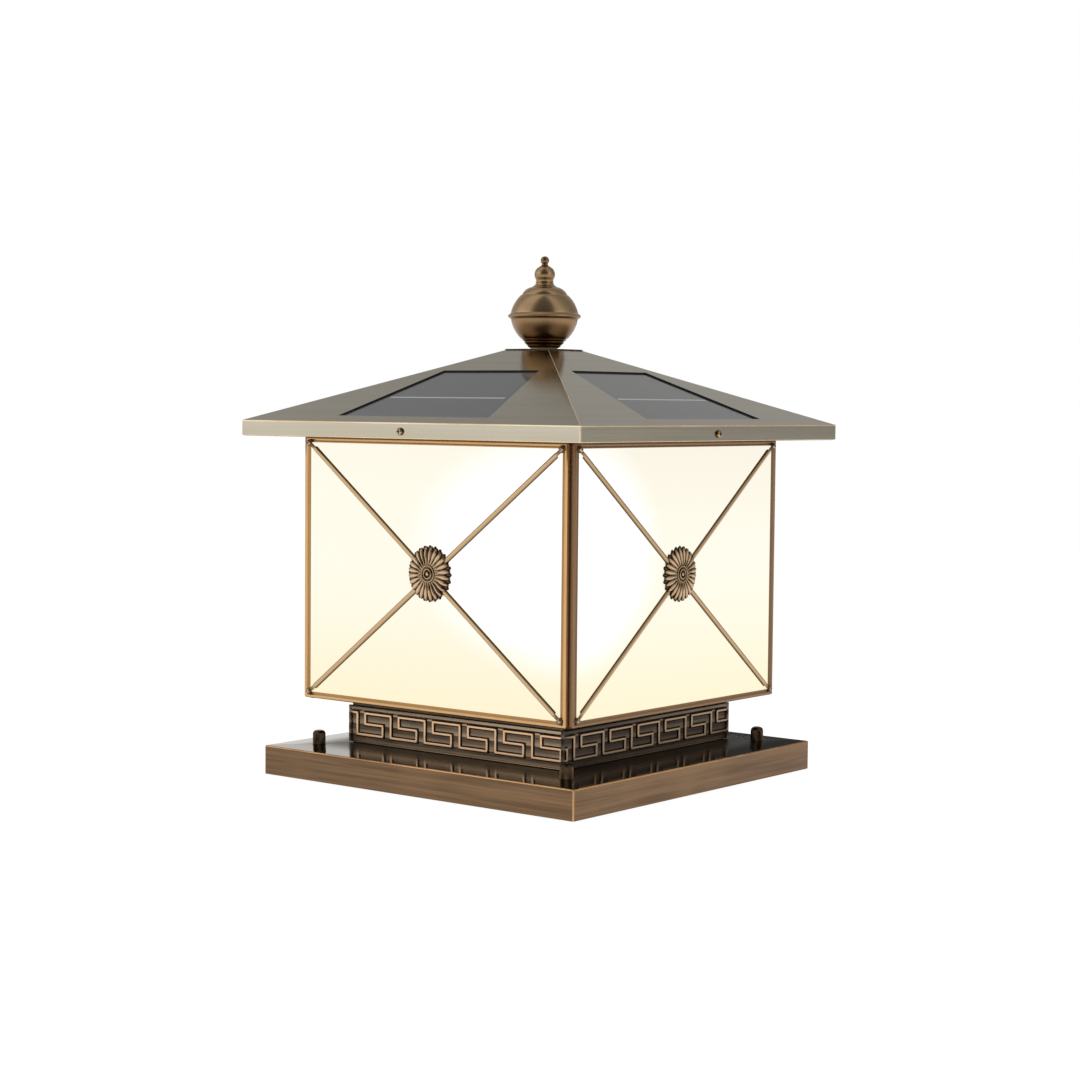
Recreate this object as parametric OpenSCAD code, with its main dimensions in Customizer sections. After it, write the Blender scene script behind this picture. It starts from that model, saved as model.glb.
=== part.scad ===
// Solar pillar light: a square lantern on a low plinth. Four opal panes stand
// behind crossed bars with rosettes, and a hipped roof carries the solar panels,
// the battery and the hanging bulb. The roof lifts off as one unit.
// Millimetres. The origin is the centre of the base's underside, +Z is up and
// -Y is the front. Sides are counted front, right, back, left.

/* [Base] */
// Width of the square base tray
base_w = 369; // [350:1:390]
// Height of the base tray
base_h = 27; // [22:1:36]
// Sheet thickness of the base tray
base_sheet = 1.5; // [1:0.1:2]
// Width of the return lip under the base tray
base_lip_w = 14; // [8:1:18]
// Square opening in the tray and the bracket under the pedestal
access_w = 200; // [170:2:206]
// Gap between the mounting bracket and the tray's return lip
bracket_gap = 6; // [3:1:8]
// Thickness of the mounting bracket
bracket_t = 2; // [1.5:0.5:4]
// Distance between neighbouring anchor holes
anchor_spacing = 236; // [224:2:250]
// Diameter of the anchor holes
anchor_hole_d = 9; // [7:0.5:11]
// Distance from the base's edge to the centre of a cap nut
nut_inset = 36; // [32:1:40]
// Diameter of a cap nut
nut_d = 12; // [10:0.5:16]
// Height of a cap nut
nut_h = 14; // [11:0.5:18]
// Diameter of the studs that the cap nuts turn on
stud_d = 6; // [4:0.5:7]
// Number of flutes round a cap nut
nut_flutes = 16; // [8:1:20]

/* [Pedestal] */
// Width of the pedestal over its key bands
pedestal_w = 257; // [240:1:280]
// Height of the pedestal
pedestal_h = 46.4; // [44:0.2:60]
// Sheet thickness of the pedestal shell
pedestal_sheet = 1.5; // [1:0.1:2.5]
// Width of the pedestal's inward flanges
pedestal_flange = 12; // [8:1:16]
// Thickness of a key band at its mouldings
band_t = 3; // [2.5:0.1:5]
// Shadow gap between the base and the key bands
band_gap = 3; // [1:0.2:5]
// Length after which the key pattern repeats
key_pitch = 42.4; // [34:0.2:50]
// Width of the raised key line
key_line_w = 2.2; // [1.5:0.1:3]
// Height of the key pattern from its lowest to its highest line
key_h = 20.3; // [16:0.1:24]
// Height of the lowest key line above the band's lower edge
key_low = 8; // [7:0.1:10]

/* [Lamp box] */
// Width of the lamp box over its frames
box_w = 317; // [300:1:330]
// Height of the lamp box
box_h = 244.6; // [230:0.2:270]
// Sheet thickness of the floor and ceiling plates
plate_t = 1.2; // [0.8:0.1:2]
// Depth of the panel frames
frame_t = 3.2; // [2.6:0.1:4.5]
// Width of the panel frame members
member_w = 6.4; // [6:0.1:9]
// Radius of the rounded outer corners of a panel frame
frame_corner_r = 3; // [1:0.5:4]
// Thickness of the opal panes
glass_t = 3; // [2:0.5:5]
// Width of the square corner posts
post_w = 5.5; // [5:0.1:6]
// Width of a cross bar, a half-round section
bar_w = 4.2; // [3:0.1:6]
// Distance from a frame's outer edges to the screw in a bar's end
bar_inset = 4.8; // [4.5:0.1:6]
// Diameter of the central opening in the ceiling plate
ceiling_hole_d = 150; // [120:2:180]

/* [Rosettes] */
// Diameter of a rosette
rosette_d = 51.5; // [40:0.5:60]
// Thickness of a rosette in front of the bars
rosette_t = 7.5; // [6:0.5:10]
// Petals in each of a rosette's two layers
petal_count = 24; // [12:1:30]

/* [Roof] */
// Width of the roof at the eaves
roof_w = 400; // [380:1:430]
// Height of the fascia
fascia_h = 14.1; // [13:0.1:20]
// Rise of the roof from the fascia to its flat top
roof_rise = 68.1; // [55:0.1:85]
// Width of the roof's flat top
roof_top_w = 51.2; // [50:0.2:58]
// Sheet thickness of the roof
roof_sheet = 1.2; // [0.8:0.1:2]
// Radial and side clearance between the roof and the ceiling plate
roof_gap = 0.3; // [0.2:0.1:0.5]
// Distance from the eave to the lower edge of a solar window, up the slope
window_low = 15; // [13:0.5:25]
// Distance from the eave to the upper edge of a solar window, up the slope
window_high = 131.5; // [110:0.5:136]
// Width of a solar window at its lower edge
window_w_low = 178; // [150:1:200]
// Width of a solar window at its upper edge
window_w_high = 114; // [100:1:118]
// Thickness of the black seal between the roof and a solar panel
seal_t = 1.5; // [1:0.1:2.5]
// Thickness of a solar panel
panel_t = 3.5; // [2.5:0.1:5]
// Width by which a solar panel reaches under the roof sheet
panel_lap = 6; // [4:0.5:7]
// Thread diameter of the fascia screws
fascia_screw_d = 4; // [3:0.5:5]
// Length of the fascia screws under their heads
fascia_screw_l = 12; // [10:1:14]
// Diameter of the heads of the fascia screws
fascia_head_d = 6.8; // [6:0.2:8]

/* [Finial] */
// Radius of the finial's lower bowl
bowl_r = 31.6; // [26:0.2:34]
// Radius of the belt between the bowl and the dome
belt_r = 34.3; // [34:0.1:38]
// Height of the finial's bowl, from the roof to the middle of the belt
bowl_h = 32.2; // [28:0.2:36]
// Height of the dome above the middle of the belt
dome_h = 27; // [24:0.2:29]
// Radius of the knob above the dome
knob_r = 9.6; // [8:0.1:12]
// Height of the knob with the bead on its tip
knob_h = 29.1; // [26:0.1:34]
// Radius of the bead on the finial's tip
bead_r = 3.9; // [3:0.1:5]
// Diameter of the threaded rod through the finial
rod_d = 8; // [6:0.5:10]

/* [Lamp] */
// Diameter of the bulb
bulb_d = 70; // [50:1:80]
// Height of the bulb's centre above the lamp box floor
bulb_height = 124; // [105:1:135]
// Distance from the bulb's centre to the mouth of its holder
bulb_neck = 54; // [48:1:60]
// Diameter of the bulb's screw cap
cap_d = 26.4; // [20:0.2:30]
// Length of the bulb's screw cap
cap_l = 26; // [20:1:30]
// Diameter of the lamp holder
holder_d = 40; // [36:1:46]
// Length of the lamp holder
holder_l = 50; // [44:1:56]
// Diameter of the tube that carries the lamp holder
tube_d = 10; // [8:0.5:12]

/* [Electronics] */
// Width of the inner bracket that hangs under the roof's flat top
stirrup_w = 44; // [42:0.5:46]
// Height of the inner bracket
stirrup_h = 49; // [47:0.5:52]
// Width of the strip that the inner bracket is bent from
stirrup_strip = 30; // [24:1:36]
// Thickness of the strip
stirrup_t = 2; // [1.5:0.1:2.5]
// Diameter of a battery cell
cell_d = 18.4; // [14:0.1:18.4]
// Length of a battery cell
cell_l = 65; // [50:1:70]

/* [Hidden] */

SIDES = ["front", "right", "back", "left"];
CORNERS = ["front_left", "front_right", "back_right", "back_left"];

// Smoothness of round parts
$fn = 64;

// Radial clearance of a shaft, stud or screw that turns or slides in its bore
running_fit = 0.06;
// Radial clearance of a screw that only passes through a hole
free_fit = 0.4;
// Clearance of a fixed piece in the hole or window that holds it
snug = 0.1;
// Gap between two pieces that rest on each other without being fastened
seat = 0.3;
// Overshoot of a cut past the faces that it goes through
cut = 1;

// Colours of the finishes
bronze = [0.52, 0.40, 0.28];
dark_bronze = [0.22, 0.17, 0.13];
roof_bronze = [0.62, 0.58, 0.52];
steel = [0.62, 0.63, 0.64];
opal = [1.0, 0.96, 0.86];
black = [0.06, 0.06, 0.07];
cell_blue = [0.12, 0.14, 0.18];

// Heights of the main levels
box_z0 = base_h + pedestal_h;
box_z1 = box_z0 + box_h;
box_mid_z = (box_z0 + box_z1) / 2;
ceiling_z1 = box_z1 + plate_t;
fascia_z0 = box_z1 + seat;
fascia_z1 = fascia_z0 + fascia_h;
roof_z1 = fascia_z1 + roof_rise;
roof_inner_z = roof_z1 - roof_sheet;

// Plan sizes of the lamp box: the back plane of the frames is the glass plane
glass_plane = box_w / 2 - frame_t;
frame_w = 2 * glass_plane;
post_mid = glass_plane - post_w / 2;

// Slope of the roof
slope_run = (roof_w - roof_top_w) / 2;
slope_angle = atan2(roof_rise, slope_run);

// Places of the base's fasteners
nut_mid = base_w / 2 - nut_inset;
bracket_w = base_w - 2 * (base_lip_w + bracket_gap);
stud_r = stud_d / 2;

// Points on a circular arc, from angle a0 to a1
function arc(cx, cy, r, a0, a1, steps) =
    [for (i = [0 : steps]) let (a = a0 + (a1 - a0) * i / steps) [cx + r * cos(a), cy + r * sin(a)]];

// A square plate with its centre on the Z axis
module plate(w, t) {
    translate([-w / 2, -w / 2, 0]) cube([w, w, t]);
}

// Places its children at the middle of one side of the light, with X along the
// side, Y up from the box's middle and Z outward from the glass plane
module on_face(side) {
    rotate([0, 0, 90 * side]) translate([0, -glass_plane, box_mid_z]) rotate([90, 0, 0]) children();
}

// Places its children on one slope of the roof, with X along the eave, Y up the
// slope from the eave and Z outward from the sheet's top
module on_slope(side) {
    rotate([0, 0, 90 * side]) translate([0, -roof_w / 2, fascia_z1]) rotate([slope_angle, 0, 0]) children();
}

// Places its children at one corner of a square of the given half width
module at_corner(corner, half) {
    rotate([0, 0, 90 * corner]) translate([-half, -half, 0]) children();
}

// Places its children at all four corners
module each_corner(half) {
    for (corner = [0 : 3]) at_corner(corner, half) children();
}

// BASE

// Folded tray, open below, with a return lip all round
module base_plate() color(bronze) {
    difference() {
        plate(base_w, base_h);
        translate([0, 0, base_sheet]) plate(base_w - 2 * base_sheet, base_h - 2 * base_sheet);
        translate([0, 0, -cut]) plate(base_w - 2 * base_lip_w, base_sheet + 2 * cut);
        translate([0, 0, base_h - base_sheet - cut]) plate(access_w, base_sheet + 2 * cut);
        each_corner(nut_mid) translate([0, 0, base_h / 2]) cylinder(r = stud_r + free_fit, h = base_h);
    }
}

// Steel ring that is bolted to the pillar, with four welded studs
stud_top = base_h + nut_h - 3;
module mounting_bracket() color(steel) {
    difference() {
        plate(bracket_w, bracket_t);
        translate([0, 0, -cut]) plate(access_w, bracket_t + 2 * cut);
        each_corner(anchor_spacing / 2) translate([0, 0, -cut])
            cylinder(d = anchor_hole_d, h = bracket_t + 2 * cut);
    }
    each_corner(nut_mid) cylinder(r = stud_r, h = stud_top);
}

// Domed, fluted cap nut with a blind bore for its stud
nut_round = nut_d / 3;
nut_flute_r = 0.5;
module cap_nut(corner) color(dark_bronze) {
    at_corner(corner, nut_mid) translate([0, 0, base_h]) difference() {
        rotate_extrude() polygon(concat(
            [[0, 0], [nut_d / 2, 0]],
            arc(nut_d / 2 - nut_round, nut_h - nut_round, nut_round, 0, 90, 6),
            [[0, nut_h]]));
        translate([0, 0, -cut]) cylinder(r = stud_r + running_fit, h = nut_h - 2.5 + cut);
        for (i = [0 : nut_flutes - 1])
            rotate([0, 0, 360 * i / nut_flutes]) translate([nut_d / 2 + nut_flute_r / 2, 0, 1.5])
                cylinder(r = nut_flute_r, h = nut_h, $fn = 16);
    }
}

// PEDESTAL

core_w = pedestal_w - 2 * band_t;
module pedestal_shell() color(dark_bronze) {
    translate([0, 0, base_h]) difference() {
        plate(core_w, pedestal_h);
        translate([0, 0, pedestal_sheet])
            plate(core_w - 2 * pedestal_sheet, pedestal_h - 2 * pedestal_sheet);
        translate([0, 0, -cut]) plate(core_w - 2 * pedestal_flange, pedestal_h + 2 * cut);
    }
}

// Section of a key band: depth outward from the core, height from the band's
// lower edge. A bevel, the field, a groove, a bead moulding and the neck above.
band_h = pedestal_h - band_gap - seat;
field_t = band_t - 1;
bevel_h = key_low - key_line_w;
field_h = key_low + key_h + key_line_w + 1.3;
bead_h = 4.4;
band_section = [
    [0, 0], [field_t / 2, 0], [field_t, bevel_h], [field_t, field_h],
    [field_t - 0.8, field_h + 0.4], [band_t, field_h + 0.8], [band_t, field_h + bead_h],
    [field_t, field_h + bead_h + 0.8], [field_t, band_h], [0, band_h]
];

// Place along each side where the pattern of its strip begins
key_starts = [20, 27, 22, 25];

// One raised stroke of the key pattern between two points of the field
module key_stroke(x0, y0, x1, y1) {
    half = key_line_w / 2;
    translate([min(x0, x1) - half, min(y0, y1) - half, 0])
        cube([abs(x1 - x0) + key_line_w, abs(y1 - y0) + key_line_w, band_t]);
}

// One repeat of the running key: across the top, down, along the foot, up to
// the middle line, back and up again
key_reach = key_pitch * 0.762;
module key_repeat() {
    low = key_low;
    mid = key_low + key_h / 2;
    top = key_low + key_h;
    key_stroke(0, top, key_reach, top);
    key_stroke(key_reach, low, key_reach, top);
    key_stroke(key_reach, low, 2 * key_reach, low);
    key_stroke(2 * key_reach, low, 2 * key_reach, mid);
    key_stroke(key_pitch, mid, 2 * key_reach, mid);
    key_stroke(key_pitch, mid, key_pitch, top);
}

module key_band(side) color(bronze) {
    repeats = ceil(pedestal_w / key_pitch);
    rotate([0, 0, 90 * side]) translate([0, -core_w / 2, base_h + band_gap]) intersection() {
        union() {
            translate([-pedestal_w / 2, 0, 0]) rotate([90, 0, 90])
                mirror([1, 0, 0]) linear_extrude(pedestal_w) polygon(band_section);
            // The pattern is cut off where the field meets the mitred ends
            intersection() {
                rotate([90, 0, 0]) for (i = [-2 : repeats])
                    translate([key_starts[side] - pedestal_w / 2 + i * key_pitch, 0, 0]) key_repeat();
                translate([-core_w / 2 - field_t / 2, -band_t, 0]) cube([core_w + field_t, band_t, band_h]);
            }
        }
        // Mitred ends in plan
        linear_extrude(band_h) polygon([
            [-core_w / 2, 0], [core_w / 2, 0],
            [pedestal_w / 2, -band_t], [-pedestal_w / 2, -band_t]]);
    }
}

// LAMP BOX

post_screw_d = 3;
post_screw_l = 9;
drain_d = 8;
module floor_plate() color(bronze) {
    translate([0, 0, box_z0]) difference() {
        plate(frame_w, plate_t);
        each_corner(post_mid) translate([0, 0, -cut])
            cylinder(r = post_screw_d / 2 + snug, h = plate_t + 2 * cut);
        translate([0, 0, -cut]) cylinder(d = drain_d, h = plate_t + 2 * cut);
    }
}

post_z0 = box_z0 + plate_t;
post_h = box_h - plate_t;
module corner_posts() color(dark_bronze) {
    each_corner(post_mid) translate([0, 0, post_z0]) difference() {
        plate(post_w, post_h);
        for (z = [-cut, post_h - post_screw_l])
            translate([0, 0, z]) cylinder(r = post_screw_d / 2 + snug, h = post_screw_l + cut);
    }
}

// A pan-head screw: its head stands on Z = 0 and its shank points down
module pan_screw(head_d, head_h, shank_d, shank_l) {
    rotate_extrude() polygon(concat(
        [[0, -shank_l], [shank_d / 2, -shank_l], [shank_d / 2, 0], [head_d / 2, 0]],
        arc(head_d / 2 - head_h * 0.7, head_h * 0.3, head_h * 0.7, 0, 90, 5),
        [[0, head_h]]));
}

// Screws through the ceiling and floor plates into the ends of the posts
module box_screws() color(steel) {
    each_corner(post_mid) {
        translate([0, 0, ceiling_z1]) pan_screw(post_w, 2, post_screw_d, post_screw_l);
        translate([0, 0, box_z0]) mirror([0, 0, 1]) pan_screw(post_w, 2, post_screw_d, post_screw_l);
    }
}

// Rounded section of a frame member, flat at the back
module member_section(w, t) {
    r = t / 2;
    translate([-w / 2, 0]) square([w, t - r]);
    translate([-w / 2 + r, 0]) square([w - 2 * r, t]);
    for (x = [-1, 1]) translate([x * (w / 2 - r), t - r]) circle(r = r, $fn = 32);
}

// Square prism with rounded edges
module rounded_prism(w, h, r, t) {
    for (x = [-1, 1], y = [-1, 1])
        translate([x * (w / 2 - r), y * (h / 2 - r), 0]) cylinder(r = r, h = t, $fn = 32);
    translate([-w / 2 + r, -h / 2, 0]) cube([w - 2 * r, h, t]);
    translate([-w / 2, -h / 2 + r, 0]) cube([w, h - 2 * r, t]);
}

// One mitred member along the lower edge of a w by h frame
seam = 0.1;
module frame_member(w, h) {
    intersection() {
        translate([-w / 2, -h / 2 + member_w / 2, 0]) rotate([90, 0, 90])
            linear_extrude(w) member_section(member_w, frame_t);
        linear_extrude(frame_t) polygon([
            [-w / 2 + seam, -h / 2], [w / 2 - seam, -h / 2],
            [w / 2 - member_w - seam, -h / 2 + member_w], [-w / 2 + member_w + seam, -h / 2 + member_w]]);
        translate([0, 0, -cut]) rounded_prism(w, h, frame_corner_r, frame_t + 2 * cut);
    }
}

// Places of the four screws in the bar ends of one face
bar_dx = frame_w / 2 - bar_inset;
bar_dy = box_h / 2 - bar_inset;
bar_screw_d = 2.4;
module each_bar_end() {
    for (x = [-1, 1], y = [-1, 1]) translate([x * bar_dx, y * bar_dy, 0]) children();
}

// Two rails and two stiles with fine soldered seams at the mitres
module panel_frame(side) color(bronze) {
    on_face(side) difference() {
        union() {
            for (turn = [0, 180]) rotate([0, 0, turn]) frame_member(frame_w, box_h);
            for (turn = [90, 270]) rotate([0, 0, turn]) frame_member(box_h, frame_w);
        }
        each_bar_end() translate([0, 0, -cut])
            cylinder(r = bar_screw_d / 2 + snug, h = frame_t + 2 * cut, $fn = 32);
    }
}

pane_w = 2 * (glass_plane - post_w) - 0.4;
pane_h = box_h - plate_t - seat;
module glass_pane(side) color(opal) {
    on_face(side) translate([-pane_w / 2, plate_t - box_h / 2, -glass_t]) cube([pane_w, pane_h, glass_t]);
}

// Spring angles on the floor and ceiling plates that press the panes outward
clip_w = 12;
clip_leg = 5;
clip_back = 8;
clip_t = 1;
clip_x = frame_w * 0.29;
module glass_clip() {
    translate([-clip_w / 2, 0, 0]) cube([clip_w, clip_t, clip_back]);
    translate([-clip_w / 2, 0, 0]) cube([clip_w, clip_leg, clip_t]);
}
module glass_clips() color(steel) {
    back = glass_plane - glass_t - snug;
    for (side = [0 : 3], x = [-clip_x, clip_x])
        rotate([0, 0, 90 * side]) translate([x, -back, 0]) {
            translate([0, 0, post_z0]) glass_clip();
            translate([0, 0, box_z1]) mirror([0, 0, 1]) glass_clip();
        }
}

// Half-round arms from the screw in each frame corner to the rosette's hub
hub_r = 6;
arm_len = norm([bar_dx, bar_dy]);
eyelet_r = bar_inset - 1.4;
eyelet_t = 1.2;
module cross_bars(side) color(bronze) {
    on_face(side) translate([0, 0, frame_t])
        for (x = [-1, 1], y = [-1, 1]) rotate([0, 0, atan2(y * bar_dy, x * bar_dx)]) difference() {
            union() {
                translate([hub_r + seat, 0, 0]) rotate([0, 90, 0])
                    cylinder(d = bar_w, h = arm_len - hub_r - seat - bar_screw_d);
                translate([arm_len, 0, 0]) cylinder(r = eyelet_r, h = eyelet_t, $fn = 32);
            }
            translate([0, -bar_w, -bar_w]) cube([arm_len + bar_w, 2 * bar_w, bar_w]);
            translate([arm_len, 0, -cut])
                cylinder(r = bar_screw_d / 2 + snug, h = eyelet_t + 2 * cut, $fn = 32);
        }
}

bar_head_d = 4.6;
bar_head_h = 1.6;
module bar_screws() color(steel) {
    for (side = [0 : 3]) on_face(side) each_bar_end() translate([0, 0, frame_t + eyelet_t])
        pan_screw(bar_head_d, bar_head_h, bar_screw_d, frame_t + eyelet_t - seat, $fn = 32);
}

// A flat flower of round-ended petals
module petal_layer(r, t) {
    petal_r = r * sin(180 / petal_count) / (1 + sin(180 / petal_count));
    linear_extrude(t) {
        circle(r = r - petal_r);
        for (i = [0 : petal_count - 1])
            rotate(360 * i / petal_count) translate([r - petal_r, 0]) circle(r = petal_r, $fn = 24);
    }
}

// Two layers of petals round a sunken ring and a boss, on a hub behind
layer_t = rosette_t / 3;
eye_r = rosette_d * 0.2;
module rosette(side) color(bronze) {
    on_face(side) translate([0, 0, frame_t + bar_w / 2]) difference() {
        union() {
            translate([0, 0, snug - frame_t - bar_w / 2]) cylinder(r = hub_r, h = frame_t + bar_w / 2);
            petal_layer(rosette_d / 2, layer_t);
            translate([0, 0, layer_t]) rotate([0, 0, 180 / petal_count])
                petal_layer(rosette_d * 0.39, layer_t);
            translate([0, 0, 2 * layer_t]) cylinder(r = eye_r, h = layer_t);
        }
        translate([0, 0, rosette_t - layer_t]) difference() {
            cylinder(r = eye_r * 0.75, h = layer_t + cut);
            translate([0, 0, -cut]) cylinder(r = eye_r * 0.35, h = layer_t + 3 * cut);
        }
    }
}

// Tray on top of the lamp box. Its upturned rim carries the roof and has an open
// slot in each side for the shank of a fascia screw.
rim_out = roof_w / 2 - roof_sheet - roof_gap;
rim_top = fascia_z1 - roof_sheet / cos(slope_angle)
    + (roof_sheet + roof_gap) * tan(slope_angle) - seat;
fascia_screw_z = fascia_z0 + fascia_h * 0.45;
slot_r = fascia_screw_d / 2 + free_fit;
module ceiling_plate() color(bronze) {
    difference() {
        translate([0, 0, box_z1]) difference() {
            plate(2 * rim_out, rim_top - box_z1);
            translate([0, 0, plate_t]) plate(2 * (rim_out - plate_t), rim_top);
            translate([0, 0, -cut]) cylinder(d = ceiling_hole_d, h = plate_t + 2 * cut);
            each_corner(post_mid) translate([0, 0, -cut])
                cylinder(r = post_screw_d / 2 + snug, h = plate_t + 2 * cut);
        }
        for (side = [0 : 3]) rotate([0, 0, 90 * side]) translate([0, plate_t - rim_out + cut, fascia_screw_z])
            rotate([90, 0, 0]) {
                cylinder(r = slot_r, h = plate_t + 2 * cut);
                translate([-slot_r, 0, 0]) cube([2 * slot_r, rim_top, plate_t + 2 * cut]);
            }
    }
}

// ROOF

// Square frustum between two widths, standing on Z = 0
module frustum(w0, w1, h) {
    a = w0 / 2;
    b = w1 / 2;
    polyhedron(
        points = [
            [-a, -a, 0], [a, -a, 0], [a, a, 0], [-a, a, 0],
            [-b, -b, h], [b, -b, h], [b, b, h], [-b, b, h]],
        faces = [
            [0, 1, 2, 3], [7, 6, 5, 4], [4, 5, 1, 0],
            [5, 6, 2, 1], [6, 7, 3, 2], [7, 4, 0, 3]]);
}

// Half width of a solar window at the distance y up the slope
side_run = (window_w_low - window_w_high) / 2 / (window_high - window_low);
side_angle = atan(side_run);
function window_half(y) = window_w_low / 2 - (y - window_low) * side_run;

// Outline of a solar window, grown by g on every edge
function window_outline(g) = let (
    y0 = window_low - g,
    y1 = window_high + g,
    x0 = window_half(y0) + g / cos(side_angle),
    x1 = window_half(y1) + g / cos(side_angle))
    [[-x0, y0], [x0, y0], [x1, y1], [-x1, y1]];

// Inner faces of the roof sheet
inner_half = roof_w / 2 - roof_sheet;
inner_z = fascia_z1 + roof_sheet * tan(slope_angle) - roof_sheet / cos(slope_angle);
inner_top_half = inner_half - (roof_inner_z - inner_z) / tan(slope_angle);
rod_hole_r = rod_d / 2 + free_fit;

// Across-flats width of a hexagon nut as a share of its thread's diameter
hex_share = 1.7;

// Folded and soldered sheet: fascia, four slopes with windows and a flat top
module roof_shell() color(roof_bronze) {
    difference() {
        union() {
            translate([0, 0, fascia_z0]) plate(roof_w, fascia_h);
            translate([0, 0, fascia_z1]) frustum(roof_w, roof_top_w, roof_rise);
        }
        translate([0, 0, fascia_z0 - cut]) plate(2 * inner_half, inner_z - fascia_z0 + cut);
        translate([0, 0, inner_z]) frustum(2 * inner_half, 2 * inner_top_half, roof_inner_z - inner_z);
        for (side = [0 : 3]) {
            on_slope(side) translate([0, 0, -2 * roof_sheet])
                linear_extrude(3 * roof_sheet) polygon(window_outline(0));
            rotate([0, 0, 90 * side]) translate([0, cut - inner_half, fascia_screw_z]) rotate([90, 0, 0])
                cylinder(r = fascia_screw_d / 2 + running_fit, h = roof_sheet + 2 * cut);
        }
        translate([0, 0, roof_inner_z - cut]) cylinder(r = rod_hole_r, h = roof_sheet + 2 * cut);
    }
}

// Depths below the sheet's top, along the slope's normal
seal_z = -roof_sheet - seal_t;
panel_z = seal_z - panel_t;

// Laminated panel with a terminal box on its back
terminal_w = 22;
terminal_h = 14;
terminal_t = 6;
terminal_y = (window_low + window_high) / 2 + 20;
module solar_panel(side) color(cell_blue) {
    on_slope(side) {
        translate([0, 0, panel_z]) linear_extrude(panel_t) polygon(window_outline(panel_lap));
        translate([-terminal_w / 2, terminal_y, panel_z - terminal_t])
            cube([terminal_w, terminal_h, terminal_t]);
    }
}

// Foam gaskets between the roof sheet and the panels
module panel_seals() color(black) {
    for (side = [0 : 3]) on_slope(side) translate([0, 0, seal_z]) linear_extrude(seal_t) difference() {
        polygon(window_outline(panel_lap));
        polygon(window_outline(0));
    }
}

// Z-shaped clips under the sheet that press the panels against the gaskets.
// The clip stands at X = 0 with its tongue towards -Y, under the panel's edge.
strip_t = 1;
tongue_l = 8;
foot_l = 9;
panel_clip_w = 14;
module panel_clip() {
    edge = 0.3;
    drop = seal_t + panel_t + strip_t + snug;
    translate([-panel_clip_w / 2, edge, -roof_sheet - drop]) cube([panel_clip_w, strip_t, drop]);
    translate([-panel_clip_w / 2, edge, -roof_sheet - strip_t]) cube([panel_clip_w, foot_l, strip_t]);
    translate([-panel_clip_w / 2, edge - tongue_l, -roof_sheet - drop])
        cube([panel_clip_w, tongue_l + strip_t, strip_t]);
}

module panel_clips() color(steel) {
    clip_y = window_low + (window_high - window_low) * 0.3;
    top_x = window_w_high * 0.3;
    for (side = [0 : 3]) on_slope(side) for (x = [-1, 1]) {
        translate([x * top_x, window_high + panel_lap, 0]) panel_clip();
        translate([x * (window_half(clip_y) + panel_lap / cos(side_angle)), clip_y, 0])
            rotate([0, 0, -x * (90 - side_angle)]) panel_clip();
    }
}

// Hexagon nuts behind the rim, held by the fascia screws
fascia_nut_t = 3.2;
nut_y = rim_out - plate_t - seat;
module fascia_nuts() color(steel) {
    for (side = [0 : 3]) rotate([0, 0, 90 * side]) translate([0, fascia_nut_t - nut_y, fascia_screw_z])
        rotate([90, 0, 0]) difference() {
            cylinder(d = hex_share * fascia_screw_d / cos(30), h = fascia_nut_t, $fn = 6);
            translate([0, 0, -cut])
                cylinder(r = fascia_screw_d / 2 + running_fit, h = fascia_nut_t + 2 * cut);
        }
}

fascia_head_h = 2.6;
module fascia_screw(side) color(bronze) {
    rotate([0, 0, 90 * side]) translate([0, -roof_w / 2, fascia_screw_z]) rotate([90, 0, 0])
        pan_screw(fascia_head_d, fascia_head_h, fascia_screw_d, fascia_screw_l);
}

// INNER BRACKET, BATTERY AND CONTROLLER

// Closed stirrup welded under the flat top, with the rod's nut under its web
stirrup_z1 = roof_inner_z;
stirrup_z0 = stirrup_z1 - stirrup_h;
rod_nut_h = 6.5;
module inner_bracket() color(steel) {
    difference() {
        union() {
            translate([-stirrup_w / 2, -stirrup_strip / 2, stirrup_z0]) difference() {
                cube([stirrup_w, stirrup_strip, stirrup_h]);
                translate([stirrup_t, -cut, stirrup_t])
                    cube([stirrup_w - 2 * stirrup_t, stirrup_strip + 2 * cut, stirrup_h - 2 * stirrup_t]);
            }
            translate([0, 0, stirrup_z1 - stirrup_t - rod_nut_h])
                cylinder(d = hex_share * rod_d / cos(30), h = rod_nut_h, $fn = 6);
        }
        translate([0, 0, stirrup_z1 - stirrup_t - rod_nut_h - cut])
            cylinder(r = rod_d / 2 + running_fit, h = rod_nut_h + stirrup_t + 2 * cut);
        translate([0, 0, stirrup_z0 - cut]) cylinder(d = tube_d - 3, h = stirrup_t + 2 * cut);
    }
}

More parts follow.
